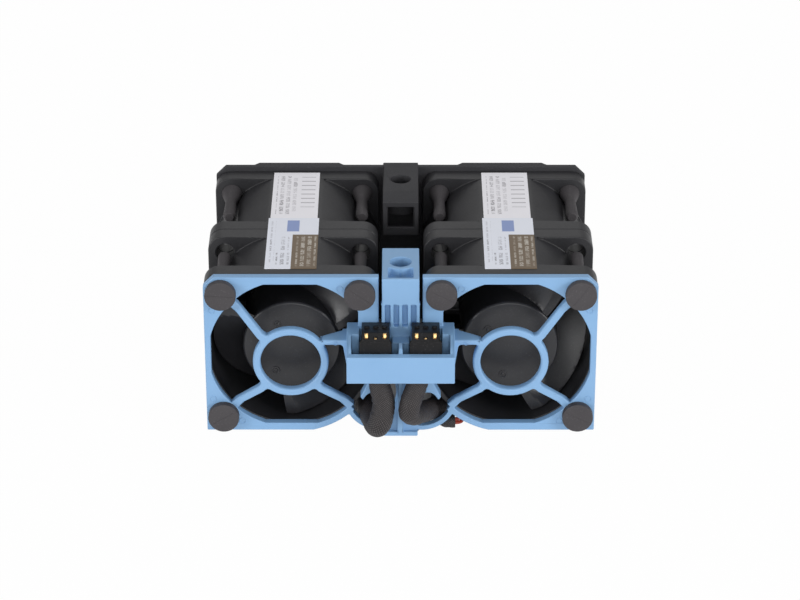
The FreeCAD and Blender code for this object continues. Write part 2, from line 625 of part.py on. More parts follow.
# Front bracket: one moulding, drawn as its right half and mirrored.  It has a frame in front of
# each fan with a finger guard, a tray for the connectors, a foot, and a tab between the fans.
def build_front_bracket():
    body = new_body("front_bracket")
    low = "(axis_height - plate_half)"
    high = "(axis_height + plate_half)"

    plate = sketch_on(body, "front")
    outline(plate, [("frame_edge", low), ("plate_edge", low), ("plate_edge", f"{high} - plate_corner"),
                    ("plate_edge - plate_corner", high), ("frame_edge", high)])
    grow(plate, "plate_thickness")
    window = sketch_on(body, "front")
    draw_window(window, AXIS_X, "axis_height")
    cut(window, "plate_thickness")

    # Below the tray the frame keeps only a rim round the window's lower half.
    slant = "cos(45)"
    below = sketch_on(body, "front")
    outline(below, [
        ("frame_edge - 1", low), (f"{AXIS_X} - sqrt(rim_radius ^ 2 - plate_half ^ 2)", low),
        (f"{AXIS_X} - rim_radius * {slant}", f"axis_height - rim_radius * {slant}"),
        (f"{AXIS_X} - (window_radius - 1) * {slant}", f"axis_height - (window_radius - 1) * {slant}"),
        (f"{AXIS_X} - (window_radius - 1) * {slant}", "ledge_top"), ("frame_edge - 1", "ledge_top"),
    ], {1: "-rim_radius"})
    cut(below, "plate_thickness")
    panel = sketch_on(body, "front")
    rectangle(panel, "frame_edge", "ledge_top", "panel_edge", f"axis_height + {CORNER} - isolator_neck")
    grow(panel, "plate_thickness")

    # Finger guard: a ring in front of the hub on three bent spokes and a level rib.
    ring = sketch_on(body, "front", "-guard_reach")
    circle(ring, AXIS_X, "axis_height", "guard_outside")
    circle(ring, AXIS_X, "axis_height", "guard_inside")
    grow(ring, "guard_depth")
    spoke = sketch_on(body, "side", AXIS_X, up="axis_height", spin=45)
    outline(spoke, [
        ("-guard_reach", "(guard_inside + guard_outside) / 2"), ("-guard_reach", "spoke_bend"),
        ("0", "spoke_foot"), ("0", "window_radius + 0.4"), ("plate_thickness", "window_radius + 0.4"),
        ("plate_thickness", "spoke_foot + 0.6"), ("guard_depth - guard_reach", "spoke_bend + 0.6"),
        ("guard_depth - guard_reach", "(guard_inside + guard_outside) / 2"),
    ])
    repeat(grow(spoke, "spoke_width", middle=True), (spoke, ["H_Axis"]), "3", "180")
    rib = sketch_on(body, "top", "rib_bottom")
    outline(rib, [
        (f"{AXIS_X} - guard_inside", "-guard_reach"),
        (f"{AXIS_X} - guard_inside", "guard_depth - guard_reach"),
        ("tray_half - 0.2", "plate_thickness"), ("tray_half - 0.2", "-guard_reach"),
    ])
    grow(rib, "rib_thickness")
    strip = sketch_on(body, "front", "-guard_reach")
    rib_top = "(rib_bottom + rib_thickness)"
    outline(strip, [
        ("tray_half - 0.2", rib_top), ("tray_half - 1.3", "tray_bottom"), ("tray_half - 0.1", "tray_bottom"),
        ("tray_half + 1.1", rib_top),
    ])
    grow(strip, "guard_reach + plate_thickness")

    # Tray: a block with a sloping top, hollowed round the connectors, with a wall between them.
    block = sketch_on(body, "side")
    outline(block, [
        ("-tray_front", "tray_bottom"), ("plate_thickness", "tray_bottom"), ("plate_thickness", "ledge_top"),
        ("-ledge_depth", "ledge_top"), ("tray_wall - tray_front", "tray_bottom + tray_height"),
        ("-tray_front", "tray_bottom + tray_height"),
    ])
    grow(block, "tray_half")
    hollow = sketch_on(body, "top", "tray_bottom + tray_floor")
    rectangle(hollow, "divider_half", "tray_wall - tray_front", "tray_half - tray_side", "-ledge_depth")
    cut(hollow, "ledge_top - tray_bottom")
    slot = sketch_on(body, "top", "tray_bottom + tray_floor")
    rectangle(slot, "connector_inner", "tray_wall - tray_front", "connector_inner + connector_width",
              "connector_depth - connector_front + 0.02")
    cut(slot, "ledge_top - tray_bottom")
    exit_hole = sketch_on(body, "top", "tray_bottom")
    room = "(lead_radius + lead_clearance)"
    rectangle(exit_hole, f"lead_across - {room}", f"-lead_along - {room}",
              f"lead_across + {room}", f"-lead_along + {room}")
    cut(exit_hole, "tray_floor")
    recess = sketch_on(body, "top", "recess_floor")
    rectangle(recess, "-0.1", "-ledge_depth - 2", "recess_half", "-tab_front")
    cut(recess, "ledge_top - recess_floor + 1")

    # Under the tray: two hooks for the leads, an upright rib on a web, the curved strips and the foot.
    hook = sketch_on(body, "front", "-hook_depth")
    outline(hook, [
        ("foot_half - 0.5", "tray_bottom + 0.5"), ("foot_half - 0.5", "hook_tip + 1.8"),
        ("foot_half + 1.5", "hook_tip + 1.8"), ("hook_reach - 1.2", "hook_tip + 0.9"),
        ("hook_reach - 0.6", "hook_tip"), ("hook_reach", "hook_tip + 0.8"),
        ("foot_half + 1.2", "tray_bottom + 0.5"),
    ], {2: "-hook_arch"})
    grow(hook, "hook_depth + plate_thickness / 2")
    web = sketch_on(body, "front")
    outline(web, [
        ("0", "foot_thickness / 2"), ("foot_half", "foot_thickness / 2"), ("foot_half", "foot_thickness + 3"),
        ("foot_half", "tray_bottom - 1"), ("foot_half", "tray_bottom + 1"), ("0", "tray_bottom + 1"),
    ], {2: "-web_waist"})
    grow(web, "plate_thickness")
    keel = sketch_on(body, "side")
    outline(keel, [
        ("-foot_front", "foot_thickness / 2"), ("0.2", "foot_thickness / 2"), ("0.2", "tray_bottom + 0.5"),
        ("-keel_top", "tray_bottom + 0.5"),
    ])
    grow(keel, "keel_half")
    foot = sketch_on(body, "top")
    rectangle(foot, "0", "-foot_front", "foot_half", "foot_back")
    grow(foot, "foot_thickness")
    curved = sketch_on(body, "front")
    outline(curved, [
        ("foot_half - 0.3", "strip_z - strip_outside"), ("strip_x", "strip_z - strip_outside"),
        ("strip_x + strip_outside * cos(strip_end)", "strip_z - strip_outside * sin(strip_end)"),
        ("strip_x + strip_inside * cos(strip_end)", "strip_z - strip_inside * sin(strip_end)"),
        ("strip_x", "strip_z - strip_inside"), ("foot_half - 0.3", "strip_z - strip_inside"),
    ], {1: "strip_outside", 3: "-strip_inside"})
    grow(curved, "plate_thickness")

    # Tab between the fans: a top with the locating hole, a front panel and a comb down to the tray.
    tab = sketch_on(body, "side")
    outline(tab, [
        ("-tab_front", "panel_bottom"), ("panel_back", "panel_bottom"), ("panel_back", f"{high} - tab_skin"),
        ("tab_back", f"{high} - tab_skin"), ("tab_back", high), ("-tab_front", high),
    ])
    grow(tab, "tab_half")
    boss = sketch_on(body, "top", f"{high} - locating_length")
    circle(boss, "0", "locating_y", "locating_radius + locating_wall")
    grow(boss, "locating_length")
    hole = sketch_on(body, "top", f"{high} - locating_length")
    circle(hole, "0", "locating_y", "locating_radius")
    cut(hole, "locating_length")
    recess = sketch_on(body, "top", f"{high} - tab_skin / 2")
    rectangle(recess, "-0.1", "0.1", "tab_half - 1.4", "locating_y - locating_radius - 0.6")
    cut(recess, "tab_skin")
    for count in (0, 1, 2):
        tooth = sketch_on(body, "front", "-tab_front")
        middle = f"{count} * comb_pitch"
        start = "0" if count == 0 else f"{middle} - comb_rib / 2"
        rectangle(tooth, start, "ledge_top - 0.5", f"{middle} + comb_rib / 2", "panel_bottom + 0.3")
        grow(tooth, "tab_front + panel_back")
    skin = sketch_on(body, "front", "panel_back - comb_skin")
    rectangle(skin, "0", "ledge_top - 0.5", "tab_half", "panel_bottom + 0.3")
    grow(skin, "comb_skin")
    crossbar = sketch_on(body, "front", "-tab_front")
    rectangle(crossbar, "0", "recess_floor - 0.3", "crossbar_half", "ledge_top + 0.2")
    grow(crossbar, "tab_front + plate_thickness")

    screws = sketch_on(body, "front")
    for across, up in ((-1, 1), (1, 1), (1, -1)):
        circle(screws, f"{AXIS_X} + {across} * {CORNER}", f"axis_height + {up} * {CORNER}", "bracket_hole")
    cut(screws, "plate_thickness")
    mirror_body(body)


# Rear bracket: a thin plate with stiffer bands and a hollow tower between the fans.
def build_rear_bracket():
    body = new_body("rear_bracket", along=f"{SEAM} + rear_stage")
    low = "(axis_height - rear_half)"
    high = "(axis_height + rear_half)"
    plate = sketch_on(body, "front")
    outline(plate, [("0", low), ("plate_edge", low), ("plate_edge", f"{high} - plate_corner"),
                    ("plate_edge - plate_corner", high), ("0", high)])
    grow(plate, "rear_plate")
    for start in (low, f"{high} - band_height"):
        band = sketch_on(body, "top", start)
        outline(band, [
            ("band_inner", "rear_plate / 2"), ("band_inner", "rear_plate"),
            ("band_inner + rear_band - rear_plate", "rear_band"),
            ("band_outer - rear_band + rear_plate", "rear_band"), ("band_outer", "rear_plate"),
            ("band_outer", "rear_plate / 2"),
        ])
        grow(band, "band_height")
    window = sketch_on(body, "front")
    draw_window(window, AXIS_X, "axis_height")
    cut(window, "rear_band")
    holes = sketch_on(body, "front")
    for across in (-1, 1):
        for up in (-1, 1):
            circle(holes, f"{AXIS_X} + {across} * {CORNER}", f"axis_height + {up} * {CORNER}", "bracket_hole")
    cut(holes, "rear_plate")

    tower = sketch_on(body, "side")
    outline(tower, [
        ("rear_band", "tower_bottom"), ("rear_band", high), ("tower_bevel - tower_front", high),
        ("-tower_front", f"{high} - 1.2"), ("-tower_front", "tower_bottom"),
    ])
    grow(tower, "tower_half")
    inside = sketch_on(body, "top", "tower_bottom")
    rectangle(inside, "-0.1", "tower_wall - tower_front", "tower_half - tower_wall", "0.1")
    cut(inside, f"{high} - tower_bottom - 2 * tower_wall")
    mouth = sketch_on(body, "front", "-tower_front")
    rectangle(mouth, "-0.1", "opening_low", "tower_half - tower_wall + 0.2", "opening_high")
    cut(mouth, "tower_wall")
    boss = sketch_on(body, "top", f"{high} - locating_length")
    circle(boss, "0", "-tower_hole_y", "tower_half - 0.4")
    grow(boss, "locating_length")
    hole = sketch_on(body, "top", f"{high} - locating_length")
    circle(hole, "0", "-tower_hole_y", "tower_hole")
    cut(hole, "locating_length")
    mirror_body(body)


# Connectors: two housings that stand in the tray, each with three contacts in its slots.
def build_connector(side):
    sign = SIDES[side]
    middle = f"{sign} * (connector_inner + connector_width / 2)"
    bottom = "(tray_bottom + tray_floor)"
    body = new_body(f"connector_{side}", middle, "-connector_front")
    block = sketch_on(body, "side", "-connector_width / 2 + 0.02")
    step = "(tray_bottom + tray_height - 0.6)"
    outline(block, [
        ("0.02", bottom), ("connector_depth", bottom), ("connector_depth", "connector_top"),
        ("0.02", "connector_top"),
    ])
    grow(block, "connector_width - 0.04")
    for start in ("-connector_width / 2", "connector_width / 2 - 0.45"):
        shoulder = sketch_on(body, "top", step)
        rectangle(shoulder, start, "0", f"{start} + 0.45", "connector_depth + 0.1")
        cut(shoulder, "connector_top - tray_bottom")
    for count in (-1, 0, 1):
        slot = sketch_on(body, "top", "connector_top - 3.5")
        rectangle(slot, f"{count} * contact_pitch - contact_slot / 2", "0",
                  f"{count} * contact_pitch + contact_slot / 2", "1.9")
        cut(slot, "3.6")
        cavity = sketch_on(body, "top", "connector_top - 1.5")
        circle(cavity, f"{count} * contact_pitch", "connector_depth - 1.6", "contact_slot / 2")
        cut(cavity, "1.6")
    contacts = new_body(f"contacts_{side}", middle, "-connector_front")
    for count in (-1, 0, 1):
        spring = sketch_on(contacts, "side", f"{count} * contact_pitch - contact_slot / 2 + 0.15")
        outline(spring, [
            ("1.9", "connector_top - 3.5"), ("0.9", "connector_top - 3.5"), ("0.9", "connector_top - 2.4"),
            ("0.35", "connector_top - 1.6"), ("0.9", "connector_top - 0.5"), ("1.3", "connector_top - 0.5"),
            ("0.85", "connector_top - 1.6"), ("1.3", "connector_top - 2.4"), ("1.9", "connector_top - 2.4"),
        ])
        grow(spring, "contact_slot - 0.3")


# Labels: two stickers lie end to end along the flat tops of a fan's two stages.
def build_label(stage, side):
    start, end = ("label_start", "label_joint") if stage == "front" else ("label_joint", "label_end")
    body = new_body(f"label_{stage}_{side}", f"{SIDES[side]} * {AXIS_X}", "0", "axis_height")
    sketch = sketch_on(body, "top", HALF)
    width = f"label_{stage}"
    rectangle(sketch, f"-{width} / 2", start, f"{width} / 2", end)
    grow(sketch, "label_thickness")


# Leads: each fan's sleeved wires leave its connector, bend round under the tray and pass the
# notch in the front flange into the valley below the duct, up to the flange at the seam.
# Each spot of a route is followed by the radius of its bend.
LEAD_ROUTES = {
    "left": [
        ((-4.8, -5.0, 20.85), 0), ((-4.8, -5.0, 17.5), 8), ((-5.2, -7.3, 2.6), 3.8),
        ((-6.8, 0.8, 6.6), 4), ((-8.0, 6.8, 4.7), 8), ((-8.3, 21.0, 4.3), 0),
    ],
    "right": [
        ((4.8, -5.0, 20.85), 0), ((4.8, -5.0, 18.9), 5), ((1.2, -8.2, 9.9), 3.8),
        ((6.4, 2.6, 6.9), 5), ((9.6, 7.6, 3.3), 4), ((9.9, 14.0, 3.2), 10), ((9.9, 21.1, 3.2), 0),
    ],
}


def lead_path(route):
    """Straight runs joined by tangent arcs."""
    edges = []
    start = Vector(*route[0][0])
    for (before, unused), (corner, radius), (after, unused) in zip(route, route[1:], route[2:]):
        corner = Vector(*corner)
        arriving = (corner - Vector(*before)).normalize()
        leaving = (Vector(*after) - corner).normalize()
        half_turn = arriving.getAngle(leaving) / 2
        begin = corner - arriving * radius * math.tan(half_turn)
        finish = corner + leaving * radius * math.tan(half_turn)
        if (begin - start).dot(arriving) <= 0:
            raise ValueError("a lead's bends run into each other")
        bisector = (leaving - arriving).normalize()
        middle = corner + bisector * radius * (1 / math.cos(half_turn) - 1)
        edges.append(Part.LineSegment(start, begin).toShape())
        edges.append(Part.Arc(begin, middle, finish).toShape())
        start = finish
    edges.append(Part.LineSegment(start, Vector(*route[-1][0])).toShape())
    return Part.Wire(edges)


def build_lead(side):
    path = lead_path(LEAD_ROUTES[side])
    start = path.Vertexes[0].Point
    radius = number("lead_radius")
    ring = Part.Wire([Part.makeCircle(radius, start, path.Edges[0].tangentAt(0))])
    tube = path.makePipeShell([ring], True, True)
    expected = path.Length * math.pi * radius ** 2
    if abs(tube.Volume - expected) > 0.02 * expected:
        raise ValueError("a lead's volume differs from its section times its length")
    lead = doc.addObject("Part::Feature", f"lead_{side}")
    lead.Label = f"lead_{side}"
    lead.Shape = tube
    subparts.append(lead)


build_front_bracket()
build_rear_bracket()
for side in SIDES:
    for stage in ("front", "rear"):
        build_housing(stage, side)
        build_impeller(stage, side)
        build_rotor(stage, side)
        build_stator(stage, side)
        build_isolators(stage, side)
        build_label(stage, side)
    build_connector(side)
    build_lead(side)
doc.recompute()

for thing in doc.Objects:
    if "Invalid" in thing.State or "Error" in thing.State:
        raise ValueError(f"{thing.Label} failed: {thing.State}")
for subpart in subparts:
    if subpart.Shape.isNull() or not subpart.Shape.isValid():
        raise ValueError(f"{subpart.Label} has no valid shape")

os.makedirs("parts", exist_ok=True)
for subpart in subparts:
    subpart.Shape.exportStep(f"parts/{subpart.Label}.step")
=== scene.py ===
from math import cos, pi, radians, sin

import bmesh
import bpy
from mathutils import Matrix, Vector


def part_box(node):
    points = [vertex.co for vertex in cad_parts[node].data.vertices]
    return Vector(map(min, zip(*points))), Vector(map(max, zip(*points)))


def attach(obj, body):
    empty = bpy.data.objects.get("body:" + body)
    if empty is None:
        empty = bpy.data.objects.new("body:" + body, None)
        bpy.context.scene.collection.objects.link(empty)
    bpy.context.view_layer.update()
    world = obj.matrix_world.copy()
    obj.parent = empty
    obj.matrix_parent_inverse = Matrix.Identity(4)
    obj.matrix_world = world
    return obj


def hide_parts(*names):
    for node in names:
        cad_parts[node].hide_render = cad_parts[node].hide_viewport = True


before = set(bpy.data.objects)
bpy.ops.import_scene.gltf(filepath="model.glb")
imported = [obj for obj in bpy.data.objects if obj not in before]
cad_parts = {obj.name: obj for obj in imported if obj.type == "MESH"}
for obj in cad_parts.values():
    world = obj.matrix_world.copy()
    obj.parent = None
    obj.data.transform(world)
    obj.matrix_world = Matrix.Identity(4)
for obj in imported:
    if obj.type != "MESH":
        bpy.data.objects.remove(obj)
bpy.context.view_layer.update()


# Studio: a pale floor, which shines white to the camera but lies in plain shadow under the module,
# a large soft lamp in front, others above, behind and at each side, and a camera that looks down on
# the module's front.
MM = 0.001
LAMP_TARGET = Vector((0.0, 0.02, 0.02))


def add_lamp(name, place, size, power):
    """A round soft lamp that points at the module's middle."""
    data = bpy.data.lights.new(name, "AREA")
    data.shape = "DISK"
    data.size = size
    data.energy = power
    lamp = bpy.data.objects.new(name, data)
    lamp.location = place
    lamp.rotation_euler = (LAMP_TARGET - Vector(place)).to_track_quat("-Z", "Y").to_euler()
    bpy.context.scene.collection.objects.link(lamp)


add_lamp("lamp_front", place=(0.05, -1.02, 0.40), size=0.55, power=2.9)
add_lamp("lamp_top", place=(-0.05, 0.15, 0.95), size=0.6, power=1.0)
add_lamp("lamp_back", place=(0.0, 1.05, 0.66), size=0.8, power=0.6)
add_lamp("lamp_left", place=(-0.92, -0.52, 0.32), size=0.4, power=4.3)
add_lamp("lamp_right", place=(0.96, -0.56, 0.34), size=0.4, power=6.0)

CAMERA_PLACE = (-0.155 * MM, -601.84 * MM, 348.78 * MM)
CAMERA_TILT = 27.496
camera_data = bpy.data.cameras.new("camera")
camera_data.lens = 132.916
camera_data.sensor_width = 36.0
camera_data.clip_end = 10.0
camera = bpy.data.objects.new("camera", camera_data)
camera.location = CAMERA_PLACE
camera.rotation_euler = (radians(90 - CAMERA_TILT), 0.0, 0.0)
bpy.context.scene.collection.objects.link(camera)
bpy.context.scene.camera = camera
bpy.context.scene.view_settings.view_transform = "Standard"

world = bpy.data.worlds.new("studio")
bpy.context.scene.world = world
world.use_nodes = True
sky = world.node_tree.nodes["Background"]
sky.inputs["Color"].default_value = (1.0, 1.0, 1.0, 1.0)
sky.inputs["Strength"].default_value = 0.35


def feed(tree, socket, value):
    """Gives a node's input a value of its own, or what comes from another node."""
    if isinstance(value, bpy.types.NodeSocket):
        tree.links.new(value, socket)
    else:
        socket.default_value = value


def calculated(tree, operation, *values):
    """What a Math node makes of one or two values."""
    node = tree.nodes.new("ShaderNodeMath")
    node.operation = operation
    for socket, value in zip(node.inputs, values):
        feed(tree, socket, value)
    return node.outputs["Value"]


def spread(tree, value, start=0.0, end=1.0, low=0.0, high=1.0):
    """A value between start and end, spread from low to high and held beyond them."""
    node = tree.nodes.new("ShaderNodeMapRange")
    feed(tree, node.inputs["Value"], value)
    feed(tree, node.inputs["From Min"], start)
    feed(tree, node.inputs["From Max"], end)
    feed(tree, node.inputs["To Min"], low)
    feed(tree, node.inputs["To Max"], high)
    return node.outputs["Result"]


# Along each axis: the middle of the plain patch under the module, and how far from it the shine
# starts and is full.
PLAIN_PATCH = (("X", 0.0, 0.013, 0.014), ("Y", 0.036, 0.0262, 0.0270))
bpy.ops.object.select_all(action="DESELECT")
bpy.ops.mesh.primitive_plane_add(size=6.0, location=(0.0, 0.0, -0.02 * MM))
floor = bpy.context.object
floor.name = "floor"
floor_paint = bpy.data.materials.new("floor_paint")
floor_paint.use_nodes = True
tree = floor_paint.node_tree
tree.nodes.clear()
place = tree.nodes.new("ShaderNodeTexCoord")
axes = tree.nodes.new("ShaderNodeSeparateXYZ")
tree.links.new(place.outputs["Object"], axes.inputs["Vector"])
outside = []
for axis, centre, start, end in PLAIN_PATCH:
    distance = calculated(tree, "ABSOLUTE", calculated(tree, "SUBTRACT", axes.outputs[axis], centre))
    outside.append(spread(tree, distance, start, end))
ray = tree.nodes.new("ShaderNodeLightPath")
bright = spread(tree, ray.outputs["Is Camera Ray"], low=0.6, high=0.98)
paint = tree.nodes.new("ShaderNodeBsdfDiffuse")
paint.inputs["Color"].default_value = (0.82, 0.82, 0.82, 1.0)
glow = tree.nodes.new("ShaderNodeEmission")
glow.inputs["Color"].default_value = (1.0, 1.0, 1.0, 1.0)
blend = tree.nodes.new("ShaderNodeMixShader")
share = calculated(tree, "MULTIPLY", calculated(tree, "MAXIMUM", *outside), bright)
tree.links.new(share, blend.inputs["Fac"])
tree.links.new(paint.outputs["BSDF"], blend.inputs[1])
tree.links.new(glow.outputs["Emission"], blend.inputs[2])
output = tree.nodes.new("ShaderNodeOutputMaterial")
tree.links.new(blend.outputs["Shader"], output.inputs["Surface"])
floor.data.materials.append(floor_paint)


# Front bracket: one injection moulding in blue plastic with a satin skin.  Its edges are softly
# rounded, as the mould leaves them.
def noise(tree, place, scale, detail, roughness=0.5):
    """Cloudy noise, from 0 to 1."""
    node = tree.nodes.new("ShaderNodeTexNoise")
    feed(tree, node.inputs["Vector"], place)
    feed(tree, node.inputs["Scale"], scale)
    feed(tree, node.inputs["Detail"], detail)
    feed(tree, node.inputs["Roughness"], roughness)
    return node.outputs["Fac"]


def mixed(tree, share, first, second):
    """Two colours, mixed by the second one's share."""
    node = tree.nodes.new("ShaderNodeMix")
    node.data_type = "RGBA"
    feed(tree, node.inputs["Factor"], share)
    feed(tree, node.inputs[6], first)
    feed(tree, node.inputs[7], second)
    return node.outputs[2]


def give_relief(tree, shader, height, strength, depth):
    """Small relief on a shader's surface."""
    node = tree.nodes.new("ShaderNodeBump")
    feed(tree, node.inputs["Height"], height)
    feed(tree, node.inputs["Strength"], strength)
    feed(tree, node.inputs["Distance"], depth)
    tree.links.new(node.outputs["Normal"], shader.inputs["Normal"])


def new_finish(name, colour, roughness):
    """A material with its shader, and the coordinates that its patterns lie in."""
    finish = bpy.data.materials.new(name)
    finish.use_nodes = True
    shader = finish.node_tree.nodes["Principled BSDF"]
    shader.inputs["Base Color"].default_value = (*colour, 1.0)
    shader.inputs["Roughness"].default_value = roughness
    place = finish.node_tree.nodes.new("ShaderNodeTexCoord")
    return finish, shader, place.outputs["Object"]


def new_group(name, inputs, outputs):
    """A node group with its sockets, what comes in and what goes out."""
    group = bpy.data.node_groups.new(name, "ShaderNodeTree")
    for way, sockets in (("INPUT", inputs), ("OUTPUT", outputs)):
        for socket, kind in sockets.items():
            group.interface.new_socket(name=socket, in_out=way, socket_type=f"NodeSocket{kind}")
    source = group.nodes.new("NodeGroupInput").outputs
    result = group.nodes.new("NodeGroupOutput").inputs
    return group, source, result


def moulded_skin():
    """The skin of a moulded piece: clouds of tone, fine grain and pale specks of filler."""
    group, source, result = new_group(
        "moulded_skin",
        {"Place": "Vector", "Base": "Color", "Pale": "Color", "Grain": "Float", "Dust": "Float",
         "Smooth": "Float", "Rough": "Float"},
        {"Color": "Color", "Roughness": "Float", "Height": "Float"})
    clouds = noise(group, source["Place"], scale=130.0, detail=3.0)
    grain = noise(group, source["Place"], scale=source["Grain"], detail=4.0, roughness=0.65)
    specks = noise(group, source["Place"], scale=2600.0, detail=1.0)
    dust = calculated(group, "MULTIPLY", spread(group, specks, start=0.62, end=0.74), source["Dust"])
    tone = spread(group, clouds, start=0.3, end=0.7, high=0.22)
    paleness = calculated(group, "ADD", tone, dust)
    group.links.new(mixed(group, paleness, source["Base"], source["Pale"]), result["Color"])
    gloss = spread(group, grain, low=source["Smooth"], high=source["Rough"])
    group.links.new(gloss, result["Roughness"])
    group.links.new(grain, result["Height"])
    return group


SKIN = moulded_skin()


def moulded_finish(name, base, pale, grain, dust, smooth, rough, relief, shine=0.5):
    """Plastic, rubber or lacquer: its two tones, the scale of its grain, how much its specks show,
    the limits of its roughness, and the strength of its relief."""
    finish, shader, place = new_finish(name, base, rough)
    shader.inputs["Specular IOR Level"].default_value = shine
    tree = finish.node_tree
    skin = tree.nodes.new("ShaderNodeGroup")
    skin.node_tree = SKIN
    for socket, value in (("Place", place), ("Base", (*base, 1.0)), ("Pale", (*pale, 1.0)),
                          ("Grain", grain), ("Dust", dust), ("Smooth", smooth), ("Rough", rough)):
        feed(tree, skin.inputs[socket], value)
    tree.links.new(skin.outputs["Color"], shader.inputs["Base Color"])
    tree.links.new(skin.outputs["Roughness"], shader.inputs["Roughness"])
    give_relief(tree, shader, skin.outputs["Height"], relief, 0.05 * MM)
    return finish


SHARP_ANGLE = 32
SMOOTH_ANGLE = 40


def finished_copy(node, name, edge, finish, body="frame", edge_share=None):
    """The moulded piece in place of its plain solid, with its edges rounded as the mould leaves them:
    each edge as wide as given, or by a share of it that depends on the edge's place."""
    bpy.ops.object.select_all(action="DESELECT")
    piece = bpy.data.objects.new(name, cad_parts[node].data.copy())
    bpy.context.scene.collection.objects.link(piece)
    piece.select_set(True)
    bpy.context.view_layer.objects.active = piece
    bpy.ops.object.mode_set(mode="EDIT")
    bpy.ops.mesh.select_all(action="SELECT")
    bpy.ops.mesh.remove_doubles(threshold=0.004 * MM)
    bpy.ops.mesh.dissolve_limited(angle_limit=radians(1.0))
    bpy.ops.object.mode_set(mode="OBJECT")
    mesh = bmesh.new()
    mesh.from_mesh(piece.data)
    weight = mesh.edges.layers.float.new("bevel_weight_edge")
    for line in mesh.edges:
        if len(line.link_faces) == 2 and line.calc_face_angle() > radians(SHARP_ANGLE):
            middle = (line.verts[0].co + line.verts[1].co) / 2
            line[weight] = edge_share(middle) if edge_share else 1.0
    mesh.to_mesh(piece.data)
    mesh.free()
    rounding = piece.modifiers.new("rounding", "BEVEL")
    rounding.width = edge * MM
    rounding.segments = 2
    rounding.limit_method = "WEIGHT"
    rounding.use_clamp_overlap = False
    rounding.miter_outer = "MITER_ARC"
    bpy.ops.object.modifier_apply(modifier="rounding")
    bpy.ops.object.shade_smooth_by_angle(angle=radians(SMOOTH_ANGLE))
    flat = piece.modifiers.new("flat_faces", "WEIGHTED_NORMAL")
    flat.keep_sharp = True
    bpy.ops.object.modifier_apply(modifier="flat_faces")
    piece.data.materials.clear()
    piece.data.materials.append(finish)
    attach(piece, body)
    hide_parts(node)
    return piece


blue = moulded_finish("blue_moulding", base=(0.215, 0.395, 0.640), pale=(0.270, 0.460, 0.710),
                      grain=900.0, dust=0.12, smooth=0.34, rough=0.52, relief=0.10)
GUARD_START = 13.2 * MM
GUARD_BACK = -1.2 * MM
BROKEN_EDGE = 0.4


def bracket_edge(place):
    """The guard's ring and spokes are nearly half round, all other edges are only broken."""
    on_guard = abs(place.x) > GUARD_START and place.y < GUARD_BACK
    return 1.0 if on_guard else BROKEN_EDGE


bracket = finished_copy("front_bracket", "front_bracket_moulding", edge=0.55, finish=blue,
                        edge_share=bracket_edge)

# The recess in the tab's top goes nearly through its skin, and the hole's wall closes it at the back.
RECESS_HALF_WIDTH = 3.0
RECESS_BACK = 5.2
RECESS_FLOOR = (40.0, 40.6)
RECESS_DEEPER = 1.0
for vertex in bracket.data.vertices:
    across, back, up = vertex.co / MM
    in_recess = abs(across) < RECESS_HALF_WIDTH and 0.0 < back < RECESS_BACK
    if in_recess and RECESS_FLOOR[0] < up < RECESS_FLOOR[1]:
        vertex.co.z -= RECESS_DEEPER * MM


def join(pieces, name):
    """Several pieces made one, with the first one's materials."""
    bpy.ops.object.select_all(action="DESELECT")
    for piece in pieces:
        piece.select_set(True)
    bpy.context.view_layer.objects.active = pieces[0]
    bpy.ops.object.join()
    pieces[0].name = name
    return pieces[0]


def add_block(low, high, edge, finish, name):
    """A block between two corners in millimetres, with its edges broken."""
    bpy.ops.object.select_all(action="DESELECT")
    centre = [(a + b) / 2 * MM for a, b in zip(low, high)]
    size = [(b - a) * MM for a, b in zip(low, high)]
    bpy.ops.mesh.primitive_cube_add(size=1.0, location=centre, scale=size)
    block = bpy.context.object
    bpy.ops.object.transform_apply(location=True, rotation=True, scale=True)
    if edge:
        bpy.ops.object.mode_set(mode="EDIT")
        bpy.ops.mesh.select_all(action="SELECT")
        bpy.ops.mesh.bevel(offset=edge * MM, segments=2)
        bpy.ops.object.mode_set(mode="OBJECT")
        bpy.ops.object.shade_smooth_by_angle(angle=radians(SMOOTH_ANGLE))
    block.name = name
    block.data.materials.append(finish)
    return block


recess_wall = add_block((-0.25, 4.40, 39.2), (0.25, 5.35, 41.24), edge=0.02, finish=blue,
                        name="recess_wall")
join([bracket, recess_wall], bracket.name)


# Ejector marks: faint round witness lines that the mould's pins leave on the bracket's face and on
# the ribs beside the tray.
SIDES = {"left": -1, "right": 1}
FACE_MARKS = ((14.0, 38.4), (43.6, 32.8), (43.8, 9.5), (37.1, 3.6))
RIB_MARK = (15.0, -4.0, 26.34)


def add_mark(place, radius, height, finish, name):
    """A thin round ridge, sunk to half its thickness in a face that looks to the front."""
    bpy.ops.object.select_all(action="DESELECT")
    bpy.ops.mesh.primitive_torus_add(major_segments=28, minor_segments=6, major_radius=radius * MM,
                                     minor_radius=height * MM, location=Vector(place) * MM,
                                     rotation=(pi / 2, 0.0, 0.0))
    mark = bpy.context.object
    bpy.ops.object.transform_apply(location=True, rotation=True, scale=True)
    bpy.ops.object.shade_smooth()
    mark.name = name
    mark.data.materials.append(finish)
    return mark


marks = []
for sign in SIDES.values():
    for across, up in FACE_MARKS:
        marks.append(add_mark((sign * across, 0.0, up), radius=0.72, height=0.09, finish=blue, name="mark"))
    across, out, up = RIB_MARK
    marks.append(add_mark((sign * across, out, up), radius=0.42, height=0.08, finish=blue, name="mark"))
marks = join(marks, "ejector_marks")
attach(marks, "frame")


